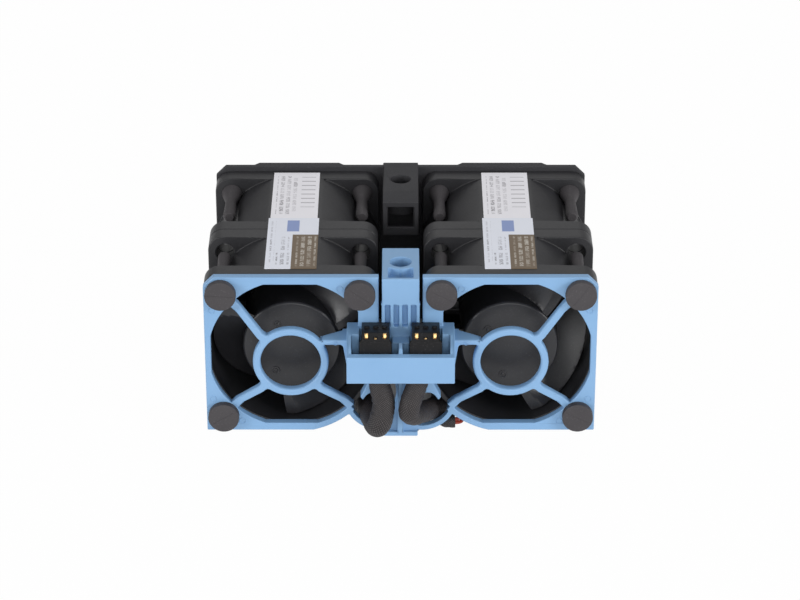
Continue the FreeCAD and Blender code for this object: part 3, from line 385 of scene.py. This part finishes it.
# Rear bracket: a thin black moulding, made like the front one, that closes the module's back and
# holds the rear isolators.
black = moulded_finish("black_moulding", base=(0.034, 0.034, 0.038), pale=(0.072, 0.072, 0.076),
                       grain=900.0, dust=0.3, smooth=0.50, rough=0.66, relief=0.12, shine=0.3)
finished_copy("rear_bracket", "rear_bracket_moulding", edge=0.22, finish=black)


# Fan housings: glass-filled plastic, dark grey with a fine matt grain.  The edges are rounded,
# so that the seam between a fan's two stages lies in a shallow groove.
housing_grey = moulded_finish("housing_plastic", base=(0.019, 0.019, 0.0215), pale=(0.050, 0.050, 0.055),
                              grain=1300.0, dust=0.35, smooth=0.36, rough=0.52, relief=0.16)
for side in SIDES:
    for stage in ("front", "rear"):
        finished_copy(f"housing_{stage}_{side}", f"housing_shell_{stage}_{side}", edge=0.28,
                      finish=housing_grey)


# Impellers: the same plastic in a smoother finish, with the gate mark and the balancing marks that
# stand as small cups on the hub's face.  The marks are placed from the fan's axis.
FAN_ACROSS = 25.4
FAN_UP = 21.2
HUB_MARKS = {
    "left": ((-3.2, 5.6), (-3.8, -6.5)),
    "right": ((-5.1, 4.3), (-1.5, -7.6)),
}
impeller_grey = moulded_finish("impeller_plastic", base=(0.020, 0.020, 0.023), pale=(0.050, 0.050, 0.054),
                               grain=1100.0, dust=0.45, smooth=0.27, rough=0.42, relief=0.12)
for side, sign in SIDES.items():
    for stage in ("front", "rear"):
        node = f"impeller_{stage}_{side}"
        wheel = finished_copy(node, f"wheel_{stage}_{side}", edge=0.14, finish=impeller_grey,
                              body=f"rotor_{stage}_{side}")
        if stage == "rear":
            continue
        hub_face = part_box(node)[0][1] / MM
        cups = []
        for across, up in HUB_MARKS[side]:
            place = (sign * FAN_ACROSS + across, hub_face, FAN_UP + up)
            cups.append(add_mark(place, radius=0.85, height=0.15, finish=impeller_grey, name="cup"))
            bpy.ops.object.select_all(action="DESELECT")
            bpy.ops.mesh.primitive_uv_sphere_add(segments=16, ring_count=8, radius=0.42 * MM,
                                                 location=Vector(place) * MM, scale=(1.0, 0.6, 1.0))
            nib = bpy.context.object
            bpy.ops.object.transform_apply(location=True, rotation=True, scale=True)
            bpy.ops.object.shade_smooth()
            nib.data.materials.append(impeller_grey)
            cups.append(nib)
        join([wheel] + cups, wheel.name)


# Isolators: soft rubber pegs pulled through bracket and flange.  Each head has a fine flash line
# where the halves of its mould met, turned as the peg happens to sit.
HOLE_OFFSET = 16.0
FLASH_SIZE = Vector((6.8, 0.10, 0.17))
FLASH_TURNS = {
    "front": {"left": (0.06, 2.6, 0.62), "right": (0.5, 2.2, 0.45)},
    "rear": {"left": (0.3, 1.9, 0.8, 2.5), "right": (2.8, 0.4, 1.2, 0.1)},
}
rubber = moulded_finish("isolator_rubber", base=(0.050, 0.046, 0.050), pale=(0.090, 0.084, 0.089),
                        grain=1500.0, dust=0.5, smooth=0.55, rough=0.75, relief=0.25, shine=0.4)
for side, sign in SIDES.items():
    for stage, turns in FLASH_TURNS.items():
        node = f"isolators_{stage}_{side}"
        pegs = finished_copy(node, f"pegs_{stage}_{side}", edge=0.16, finish=rubber)
        low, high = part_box(node)
        head_face = low[1] if stage == "front" else high[1]
        corners = [(across, up) for across in (-1, 1) for up in (1, -1)
                   if stage == "rear" or up == 1 or across == sign]
        flashes = []
        for (across, up), turned in zip(corners, turns[side]):
            bpy.ops.object.select_all(action="DESELECT")
            place = ((sign * FAN_ACROSS + across * HOLE_OFFSET) * MM, head_face,
                     (FAN_UP + up * HOLE_OFFSET) * MM)
            bpy.ops.mesh.primitive_cube_add(size=1.0, location=place, rotation=(0.0, turned, 0.0),
                                            scale=FLASH_SIZE * MM)
            flash = bpy.context.object
            bpy.ops.object.transform_apply(location=True, rotation=True, scale=True)
            bpy.ops.object.mode_set(mode="EDIT")
            bpy.ops.mesh.select_all(action="SELECT")
            bpy.ops.mesh.bevel(offset=0.03 * MM, segments=1)
            bpy.ops.object.mode_set(mode="OBJECT")
            flash.data.materials.append(rubber)
            flashes.append(flash)
        join([pegs] + flashes, pegs.name)


# Connectors: small black blocks in the tray.  The upper front edge slopes, and the slope has three
# windows with gold-plated contacts behind them; three round bumps stand on the top.
block_black = moulded_finish("connector_plastic", base=(0.006, 0.006, 0.007), pale=(0.040, 0.038, 0.039),
                             grain=1200.0, dust=0.5, smooth=0.30, rough=0.45, relief=0.12, shine=0.2)


def metal_finish(name, colour, pale, smooth, rough, scale, stretch):
    """Metal with a drawn or turned grain: streaks of tone and of gloss."""
    finish, shader, place = new_finish(name, colour, rough)
    shader.inputs["Metallic"].default_value = 1.0
    tree = finish.node_tree
    lay = tree.nodes.new("ShaderNodeMapping")
    lay.inputs["Scale"].default_value = stretch
    tree.links.new(place, lay.inputs["Vector"])
    grain = noise(tree, lay.outputs["Vector"], scale, detail=4.0)
    tree.links.new(mixed(tree, grain, (*colour, 1.0), (*pale, 1.0)), shader.inputs["Base Color"])
    tree.links.new(spread(tree, grain, low=smooth, high=rough), shader.inputs["Roughness"])
    give_relief(tree, shader, grain, 0.15, 0.02 * MM)
    return finish


gold = metal_finish("gold_plating", (0.62, 0.36, 0.13), (0.85, 0.58, 0.28), smooth=0.22, rough=0.38,
                    scale=900.0, stretch=(1, 1, 1))


def cut_across(place, normal):
    """A line of edges where a plane crosses the whole mesh."""
    bpy.ops.mesh.select_all(action="SELECT")
    bpy.ops.mesh.bisect(plane_co=[value * MM for value in place], plane_no=normal)


# The slope's and the windows' ends are places along Y.  The windows' sides, the block's sides and the
# bumps are measured across from the connector's middle.  The block is full wide only in front.
SLOPE_BACK = -5.9
SLOPE_FALL = 0.42
OUTER_WINDOW_BACK = -6.1
MIDDLE_WINDOW_BACK = -6.9
WINDOW_FRONT = -7.6
WINDOW_DEPTH = 1.3
OUTER_WINDOW = (1.65, 2.55)
MIDDLE_WINDOW = 0.38
FULL_WIDTH_FRONT = 1.8
NARROW_HALF_WIDTH = 3.2
SIDES_FROM = 3.0
BUMPS = (-2.0, 0.0, 2.0)
BUMP_RADIUS = 0.62
BUMP_HEIGHT = 0.9
BUMP_Y = -3.4
# Each blade: its place across, its back, its half width and the heights of its two ends.
BLADES = (
    (-2.1, -6.2, 0.42, 29.05, 30.15),
    (0.0, -7.0, 0.28, 28.95, 29.5),
    (2.1, -6.2, 0.42, 29.05, 30.15),
)
BLADE_LEAN = 0.5
TAIL_FRONT = -7.5
TAIL_HEIGHTS = (28.6, 29.08)
for side in SIDES:
    low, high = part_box(f"connector_{side}")
    low = [value / MM for value in low]
    high = [value / MM for value in high]
    middle_x = (low[0] + high[0]) / 2
    block = add_block(low, high, edge=0, finish=block_black, name=f"connector_block_{side}")
    bpy.ops.object.mode_set(mode="EDIT")
    for y in (SLOPE_BACK, OUTER_WINDOW_BACK, MIDDLE_WINDOW_BACK, WINDOW_FRONT):
        cut_across((0, y, 0), (0, 1, 0))
    inner, outer = OUTER_WINDOW
    for offset in (-outer, -inner, -MIDDLE_WINDOW, MIDDLE_WINDOW, inner, outer):
        cut_across((middle_x + offset, 0, 0), (1, 0, 0))
    mesh = bmesh.from_edit_mesh(block.data)
    for vertex in mesh.verts:
        past = SLOPE_BACK - vertex.co.y / MM
        if vertex.co.z > (high[2] - 0.1) * MM and past > 0:
            vertex.co.z -= SLOPE_FALL * past * MM
        if past < FULL_WIDTH_FRONT and abs(vertex.co.x / MM - middle_x) > SIDES_FROM:
            narrow = NARROW_HALF_WIDTH if vertex.co.x / MM > middle_x else -NARROW_HALF_WIDTH
            vertex.co.x = (middle_x + narrow) * MM
    bpy.ops.mesh.select_all(action="DESELECT")
    for face in mesh.faces:
        centre = face.calc_center_median() / MM
        across = abs(centre.x - middle_x)
        in_outer = inner < across < outer and WINDOW_FRONT < centre.y < OUTER_WINDOW_BACK
        in_middle = across < MIDDLE_WINDOW and WINDOW_FRONT < centre.y < MIDDLE_WINDOW_BACK
        face.select = (in_outer or in_middle) and face.normal.z > 0.7
    bmesh.update_edit_mesh(block.data)
    window_move = (0.0, 0.1 * MM, -WINDOW_DEPTH * MM)
    bpy.ops.mesh.extrude_region_move(TRANSFORM_OT_translate={"value": window_move})
    bpy.ops.object.mode_set(mode="OBJECT")
    edges = block.modifiers.new("edges", "BEVEL")
    edges.width = 0.12 * MM
    edges.segments = 2
    edges.angle_limit = radians(20)
    edges.use_clamp_overlap = False
    bpy.ops.object.modifier_apply(modifier="edges")
    bumps = []
    for offset in BUMPS:
        bpy.ops.object.select_all(action="DESELECT")
        place = Vector((middle_x + offset, BUMP_Y, high[2])) * MM
        bpy.ops.mesh.primitive_cylinder_add(vertices=24, radius=BUMP_RADIUS * MM, depth=BUMP_HEIGHT * MM,
                                            location=place)
        bump = bpy.context.object
        bpy.ops.object.transform_apply(location=True, rotation=True, scale=True)
        bpy.ops.object.mode_set(mode="EDIT")
        bpy.ops.mesh.select_all(action="SELECT")
        bpy.ops.mesh.bevel(offset=0.12 * MM, segments=2)
        bpy.ops.object.mode_set(mode="OBJECT")
        bump.data.materials.append(block_black)
        bumps.append(bump)
    block = join([block] + bumps, block.name)
    bpy.ops.object.shade_smooth_by_angle(angle=radians(35))
    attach(block, "frame")
    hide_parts(f"connector_{side}")

    blades = []
    for offset, back, half_width, low_end, high_end in BLADES:
        left = middle_x + offset - half_width
        right = middle_x + offset + half_width
        blade = add_block((left, back - 0.6, low_end), (right, back - 0.3, high_end), edge=0.05,
                          finish=gold, name="blade")
        for vertex in blade.data.vertices:
            vertex.co.y += BLADE_LEAN * (vertex.co.z - low_end * MM)
        blades.append(blade)
        blades.append(add_block((left, TAIL_FRONT, TAIL_HEIGHTS[0]), (right, back, TAIL_HEIGHTS[1]),
                                edge=0.12, finish=gold, name="tail"))
    blades = join(blades, f"contact_blades_{side}")
    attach(blades, "frame")
    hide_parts(f"contacts_{side}")


# Leads: three wires in a braided sleeve.  The sleeve leaves the connector downwards, turns under
# the tray and runs back beside its fan.
ROUTES = {
    "left": ((-4.8, -5.0, 20.85), (-5.3, -5.1, 17.0), (-3.6, -6.0, 11.8), (-5.2, -7.2, 5.2),
             (-6.8, 0.0, 5.2), (-8.0, 6.8, 4.7), (-8.3, 21.0, 4.3)),
    "right": ((4.8, -5.0, 20.85), (4.2, -5.2, 17.4), (1.0, -8.2, 9.2), (6.0, 1.0, 5.7),
              (9.4, 7.6, 3.4), (9.9, 14.0, 3.3), (9.9, 21.0, 3.3)),
}
SLIM_RADIUS = 2.42
FULL_RADIUS = {"left": 2.75, "right": 2.5}
# A lead's mesh: the run from one ring of points to the next, the points in a ring, and the radius
# at which the braid's pattern is laid out flat.
STEP = 0.3
AROUND = 72
CHART_RADIUS = 2.65
SWELL_START = 3.0
SWELL_RUN = 9.0
FOLD_DEPTH = 0.16
FOLD_WAVE = 2.9
FULL_BEND = 0.35


def draw_line(name, route, resolution):
    """The smooth line through a route of points in millimetres."""
    data = bpy.data.curves.new(name, "CURVE")
    data.dimensions = "3D"
    data.resolution_u = resolution
    line = data.splines.new("NURBS")
    line.points.add(len(route) - 1)
    for point, place in zip(line.points, route):
        point.co = (*[value * MM for value in place], 1.0)
    line.order_u = 3
    line.use_endpoint_u = True
    curve = bpy.data.objects.new(name, data)
    bpy.context.scene.collection.objects.link(curve)
    return curve


def mesh_of(curve):
    """The mesh of a curve, which is removed."""
    bpy.context.view_layer.update()
    mesh = bpy.data.meshes.new_from_object(curve)
    bpy.data.objects.remove(curve)
    return mesh


def line_points(route):
    """Points along the smooth line through the lead's route, a step apart."""
    fine = [vertex.co.copy() for vertex in mesh_of(draw_line("lead_line", route, 64)).vertices]
    step = STEP * MM
    points = [fine[0]]
    run = 0.0
    for start, end in zip(fine, fine[1:]):
        length = (end - start).length
        while run + length >= step:
            start = start.lerp(end, (step - run) / length)
            points.append(start)
            length = (end - start).length
            run = 0.0
        run += length
    return points


def braided_finish():
    """Dark braid: two sets of strands that cross, each strand with its own tone, painted shade in the gaps
    between the strands and a painted sheen on the tops where they cross.
    """
    finish, shader, place = new_finish("braided_sleeve", (0.03, 0.03, 0.03), 0.6)
    tree = finish.node_tree
    chart = tree.nodes.new("ShaderNodeUVMap")
    chart.uv_map = "run"
    strands = []
    for turn in (52.0, -52.0):
        lay = tree.nodes.new("ShaderNodeMapping")
        lay.inputs["Rotation"].default_value = (0.0, 0.0, radians(turn))
        tree.links.new(chart.outputs["UV"], lay.inputs["Vector"])
        strand = tree.nodes.new("ShaderNodeTexWave")
        strand.inputs["Scale"].default_value = 0.8
        strand.inputs["Distortion"].default_value = 1.2
        strand.inputs["Detail Scale"].default_value = 1.5
        tree.links.new(lay.outputs["Vector"], strand.inputs["Vector"])
        strands.append(strand.outputs["Fac"])
    crossing = calculated(tree, "MULTIPLY", *strands)
    flecks = noise(tree, chart.outputs["UV"], scale=1.9, detail=6.0, roughness=0.75)
    # Nearly black in the gaps between the strands is painted shade, and paler on the raised crossings is a
    # painted sheen. The flecks vary the tone at random.
    shade = tree.nodes.new("ShaderNodeValToRGB")
    shade.color_ramp.elements[0].position = 0.05
    shade.color_ramp.elements[0].color = (0.007, 0.0058, 0.0062, 1.0)
    shade.color_ramp.elements[1].position = 0.5
    shade.color_ramp.elements[1].color = (0.100, 0.084, 0.087, 1.0)
    tree.links.new(calculated(tree, "MULTIPLY", crossing, flecks), shade.inputs["Fac"])
    tree.links.new(shade.outputs["Color"], shader.inputs["Base Color"])
    give_relief(tree, shader, crossing, 0.5, 0.12 * MM)
    return finish


def sleeve_radius(run, angle, slim, full, fold):
    """The radius in millimetres at a run along the sleeve: it swells, waves a little and folds."""
    swell = min(max((run - SWELL_START) / SWELL_RUN, 0.0), 1.0)
    short_wave = 0.045 * sin(5.2 * run + 2.5 * sin(angle + 0.4 * run))
    long_wave = 0.05 * sin(1.3 * run + 2.0 * sin(angle))
    return slim + (full - slim) * swell + short_wave + long_wave - FOLD_DEPTH * full * fold


def add_sleeve(name, route, slim, full, finish):
    """A sleeve that swells from a slim to a full radius, with folds on the inner side of its bends."""
    points = line_points(route)
    up = Vector((0.0, 1.0, 0.0))
    vertices = []
    faces = []
    chart = []
    for index, point in enumerate(points):
        before = points[max(index - 1, 0)]
        after = points[min(index + 1, len(points) - 1)]
        along = (after - before).normalized()
        up = (up - along * up.dot(along)).normalized()
        across = along.cross(up)
        far_before = points[max(index - 4, 0)]
        far_after = points[min(index + 4, len(points) - 1)]
        inward = far_before + far_after - 2 * point
        bend = min(inward.length / (FULL_BEND * MM), 1.0)
        inward = inward.normalized() if inward.length > 0 else up
        run = index * STEP
        for step in range(AROUND):
            angle = 2 * pi * step / AROUND
            out = up * cos(angle) + across * sin(angle)
            fold = max(out.dot(inward), 0.0) * bend * (0.5 + 0.5 * sin(FOLD_WAVE * run))
            vertices.append(point + out * sleeve_radius(run, angle, slim, full, fold) * MM)
            chart.append((CHART_RADIUS * angle, run))
    for ring in range(0, (len(points) - 1) * AROUND, AROUND):
        for step in range(AROUND):
            following = (step + 1) % AROUND
            faces.append((ring + step, ring + following, ring + AROUND + following, ring + AROUND + step))
    last = (len(points) - 1) * AROUND
    faces.append(tuple(reversed(range(AROUND))))
    faces.append(tuple(range(last, last + AROUND)))
    mesh = bpy.data.meshes.new(name)
    mesh.from_pydata(vertices, [], faces)
    layer = mesh.uv_layers.new(name="run")
    for face in mesh.polygons:
        corners = [chart[mesh.loops[loop].vertex_index] for loop in face.loop_indices]
        widest = max(u for u, v in corners)
        for loop, (u, v) in zip(face.loop_indices, corners):
            if widest > CHART_RADIUS * pi and u == 0.0 and len(corners) == 4:
                u = 2 * pi * CHART_RADIUS
            layer.data[loop].uv = (u, v)
    mesh.update()
    piece = bpy.data.objects.new(name, mesh)
    bpy.context.scene.collection.objects.link(piece)
    bpy.ops.object.select_all(action="DESELECT")
    piece.select_set(True)
    bpy.context.view_layer.objects.active = piece
    bpy.ops.object.mode_set(mode="EDIT")
    bpy.ops.mesh.select_all(action="SELECT")
    bpy.ops.mesh.normals_make_consistent(inside=False)
    bpy.ops.object.mode_set(mode="OBJECT")
    bpy.ops.object.shade_smooth_by_angle(angle=radians(60))
    piece.data.materials.append(finish)
    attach(piece, "frame")
    return piece


braid = braided_finish()
for side in SIDES:
    sleeve = add_sleeve(f"sleeve_{side}", ROUTES[side], SLIM_RADIUS, FULL_RADIUS[side], braid)
    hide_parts(f"lead_{side}")


# A short slim sleeve comes out beside the bracket's rim on the right, and two red wires leave its
# open end and go back to the fan.
SLEEVE_END = ((9.4, 10.0, 2.4), (9.3, 5.0, 2.0), (10.6, 2.9, 1.85), (12.9, 3.0, 1.9))
WIRES = (
    ((11.8, 3.0, 1.5), (13.6, 3.0, 1.3), (14.8, 4.2, 1.4), (14.4, 9.0, 1.7), (12.2, 14.0, 2.4),
     (11.0, 20.4, 3.0)),
    ((11.8, 3.0, 2.4), (13.4, 2.9, 2.3), (14.2, 4.2, 2.4), (13.6, 9.0, 2.6), (11.6, 14.0, 3.2),
     (10.6, 20.4, 3.8)),
)
WIRE_RADIUS = 0.45
add_sleeve("sleeve_end", SLEEVE_END, slim=1.6, full=1.7, finish=braid)
wire_red = moulded_finish("red_insulation", base=(0.42, 0.045, 0.020), pale=(0.55, 0.09, 0.05),
                          grain=700.0, dust=0.1, smooth=0.3, rough=0.42, relief=0.05)
for number, route in enumerate(WIRES, start=1):
    line = draw_line("wire", route, 10)
    line.data.bevel_depth = WIRE_RADIUS * MM
    line.data.bevel_resolution = 3
    line.data.use_fill_caps = True
    wire = bpy.data.objects.new(f"red_wire_{number}", mesh_of(line))
    bpy.context.scene.collection.objects.link(wire)
    wire.data.materials.clear()
    wire.data.materials.append(wire_red)
    wire.data.shade_smooth()
    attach(wire, "frame")


# Labels: thin printed film.  The print is plain: grey rows, a ruled panel, and on the front label
# a brown block with paler rows and a blue patch.
def label_patch():
    """A mask that is 1 between two limits across and two limits along a label."""
    group, source, result = new_group(
        "label_patch",
        {"Place": "Vector", "From X": "Float", "To X": "Float", "From Y": "Float", "To Y": "Float"},
        {"Mask": "Float"})
    axes = group.nodes.new("ShaderNodeSeparateXYZ")
    group.links.new(source["Place"], axes.inputs["Vector"])
    inside = []
    for axis in ("X", "Y"):
        past = calculated(group, "GREATER_THAN", axes.outputs[axis], source[f"From {axis}"])
        short = calculated(group, "LESS_THAN", axes.outputs[axis], source[f"To {axis}"])
        inside.append(calculated(group, "MULTIPLY", past, short))
    group.links.new(calculated(group, "MULTIPLY", *inside), result["Mask"])
    return group


def printed_rows():
    """Rows of short grey strokes, as small print looks from a distance."""
    group, source, result = new_group(
        "printed_rows", {"Place": "Vector", "Row": "Float", "Word": "Float"}, {"Mask": "Float"})
    turned = group.nodes.new("ShaderNodeMapping")
    turned.inputs["Rotation"].default_value = (0.0, 0.0, pi / 2)
    group.links.new(source["Place"], turned.inputs["Vector"])
    rows = group.nodes.new("ShaderNodeTexBrick")
    rows.inputs["Scale"].default_value = 1.0
    rows.inputs["Mortar Size"].default_value = 0.34
    rows.inputs["Mortar Smooth"].default_value = 0.15
    rows.inputs["Color1"].default_value = (0.35, 0.35, 0.35, 1.0)
    rows.inputs["Color2"].default_value = (1.0, 1.0, 1.0, 1.0)
    rows.inputs["Mortar"].default_value = (0.0, 0.0, 0.0, 1.0)
    group.links.new(turned.outputs["Vector"], rows.inputs["Vector"])
    group.links.new(source["Row"], rows.inputs["Row Height"])
    group.links.new(source["Word"], rows.inputs["Brick Width"])
    strokes = noise(group, source["Place"], scale=3.2, detail=1.0)
    broken = spread(group, strokes, start=0.38, end=0.50)
    group.links.new(calculated(group, "MULTIPLY", rows.outputs["Color"], broken), result["Mask"])
    return group


PATCH = label_patch()
ROWS = printed_rows()
ROW_HEIGHT = 1.55
WORD_LENGTH = 3.4


def label_finish(name, start, paper, prints):
    """Film with its prints: each is a kind, four limits in millimetres from the label's corner,
    a colour and a strength."""
    finish, shader, place = new_finish(name, paper, 0.42)
    tree = finish.node_tree
    printed = tree.nodes.new("ShaderNodeMapping")
    printed.inputs["Location"].default_value = (-start[0] / MM, -start[1] / MM, 0.0)
    printed.inputs["Scale"].default_value = (1 / MM, 1 / MM, 1 / MM)
    tree.links.new(place, printed.inputs["Vector"])
    printed = printed.outputs["Vector"]
    film = noise(tree, printed, scale=0.25, detail=4.0)
    colour = mixed(tree, film, (*paper, 1.0), (*[value * 0.95 for value in paper], 1.0))
    for kind, limits, ink, strength in prints:
        area = tree.nodes.new("ShaderNodeGroup")
        area.node_tree = PATCH
        tree.links.new(printed, area.inputs["Place"])
        for socket, limit in zip(("From X", "To X", "From Y", "To Y"), limits):
            area.inputs[socket].default_value = limit
        mask = area.outputs["Mask"]
        if kind == "rows":
            rows = tree.nodes.new("ShaderNodeGroup")
            rows.node_tree = ROWS
            rows.inputs["Row"].default_value = ROW_HEIGHT
            rows.inputs["Word"].default_value = WORD_LENGTH
            tree.links.new(printed, rows.inputs["Place"])
            mask = calculated(tree, "MULTIPLY", mask, rows.outputs["Mask"])
        if kind == "rules":
            rules = tree.nodes.new("ShaderNodeTexWave")
            rules.bands_direction = "Y"
            rules.inputs["Scale"].default_value = 0.13
            tree.links.new(printed, rules.inputs["Vector"])
            thin = spread(tree, rules.outputs["Fac"], start=0.90, end=0.97)
            mask = calculated(tree, "MULTIPLY", mask, thin)
        share = calculated(tree, "MULTIPLY", mask, strength)
        colour = mixed(tree, share, colour, (*ink, 1.0))
    tree.links.new(colour, shader.inputs["Base Color"])
    return finish


FRONT_PAPER = (0.86, 0.89, 0.98)
REAR_PAPER = (0.93, 0.92, 0.97)
GREY_INK = (0.16, 0.15, 0.17)
BROWN_INK = (0.165, 0.118, 0.072)
PALE_INK = (0.62, 0.58, 0.52)
BLUE_INK = (0.16, 0.25, 0.56)
for side in SIDES:
    low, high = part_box(f"label_rear_{side}")
    width = (high[0] - low[0]) / MM
    rear = label_finish(f"label_rear_{side}", low, REAR_PAPER, (
        ("rows", (1.0, width * 0.42, 2.2, 23.5), GREY_INK, 0.75),
        ("rows", (width * 0.44, width * 0.58, 3.5, 22.5), GREY_INK, 0.6),
        ("rules", (width * 0.62, width * 0.92, 6.0, 23.0), GREY_INK, 0.7),
    ))
    low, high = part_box(f"label_front_{side}")
    width = (high[0] - low[0]) / MM
    front = label_finish(f"label_front_{side}", low, FRONT_PAPER, (
        ("rows", (0.8, width * 0.16, 3.0, 25.0), GREY_INK, 0.6),
        ("rows", (width * 0.2, width * 0.46, 2.0, 8.0), GREY_INK, 0.9),
        ("rows", (width * 0.24, width * 0.44, 9.5, 16.5), GREY_INK, 0.8),
        ("plain", (width * 0.50, width + 1.0, -1.0, 17.6), BROWN_INK, 1.0),
        ("rows", (width * 0.58, width * 0.97, 1.2, 16.6), PALE_INK, 0.75),
        ("plain", (width * 0.38, width * 0.62, 19.3, 25.2), BLUE_INK, 0.85),
    ))
    for stage, film in (("front", front), ("rear", rear)):
        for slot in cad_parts[f"label_{stage}_{side}"].material_slots:
            slot.material = film


# Motors: cups of pressed steel, ground shafts and bearings, magnets of bonded powder, stacks of
# stamped sheets with enamelled wire round them, and a lacquered board.  They keep their solids' shapes.
def banded_finish(name, dark, light, scale, roughness, metallic):
    """Sheets or turns of wire side by side: bands along the fan's axis, with a groove between them that is
    darkened with painted shade.
    """
    finish, shader, place = new_finish(name, light, roughness)
    shader.inputs["Metallic"].default_value = metallic
    tree = finish.node_tree
    bands = tree.nodes.new("ShaderNodeTexWave")
    bands.bands_direction = "Y"
    bands.inputs["Scale"].default_value = scale
    bands.inputs["Distortion"].default_value = 0.4
    tree.links.new(place, bands.inputs["Vector"])
    band = bands.outputs["Fac"]
    # The dark colour lies where the relief is low: painted shade in the grooves between sheets and between
    # turns.
    tree.links.new(mixed(tree, band, (*dark, 1.0), (*light, 1.0)), shader.inputs["Base Color"])
    give_relief(tree, shader, band, 0.6, 0.1 * MM)
    return finish


steel = metal_finish("drawn_steel", (0.42, 0.42, 0.43), (0.62, 0.62, 0.63), smooth=0.22, rough=0.40,
                     scale=700.0, stretch=(1, 0.08, 1))
cup_steel = metal_finish("pressed_steel", (0.30, 0.30, 0.31), (0.46, 0.46, 0.47), smooth=0.30, rough=0.48,
                         scale=500.0, stretch=(1, 0.2, 1))
ferrite = moulded_finish("bonded_ferrite", base=(0.016, 0.015, 0.015), pale=(0.050, 0.048, 0.048),
                         grain=1600.0, dust=0.6, smooth=0.45, rough=0.65, relief=0.3)
lacquer = moulded_finish("board_lacquer", base=(0.006, 0.050, 0.020), pale=(0.020, 0.110, 0.045),
                         grain=500.0, dust=0.15, smooth=0.22, rough=0.36, relief=0.1)
sheets = banded_finish("stamped_sheets", (0.08, 0.08, 0.085), (0.32, 0.32, 0.33), scale=320.0,
                       roughness=0.42, metallic=1.0)
copper = banded_finish("enamelled_wire", (0.20, 0.05, 0.02), (0.68, 0.28, 0.12), scale=500.0,
                       roughness=0.30, metallic=0.9)
MOTOR_FINISHES = {
    "shaft": steel, "clip": steel, "bearings": steel, "yoke": cup_steel,
    "magnet": ferrite, "board": lacquer, "core": sheets, "coils": copper,
}
for piece, finish in MOTOR_FINISHES.items():
    for name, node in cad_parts.items():
        if name.startswith(piece + "_"):
            for slot in node.material_slots:
                slot.material = finish
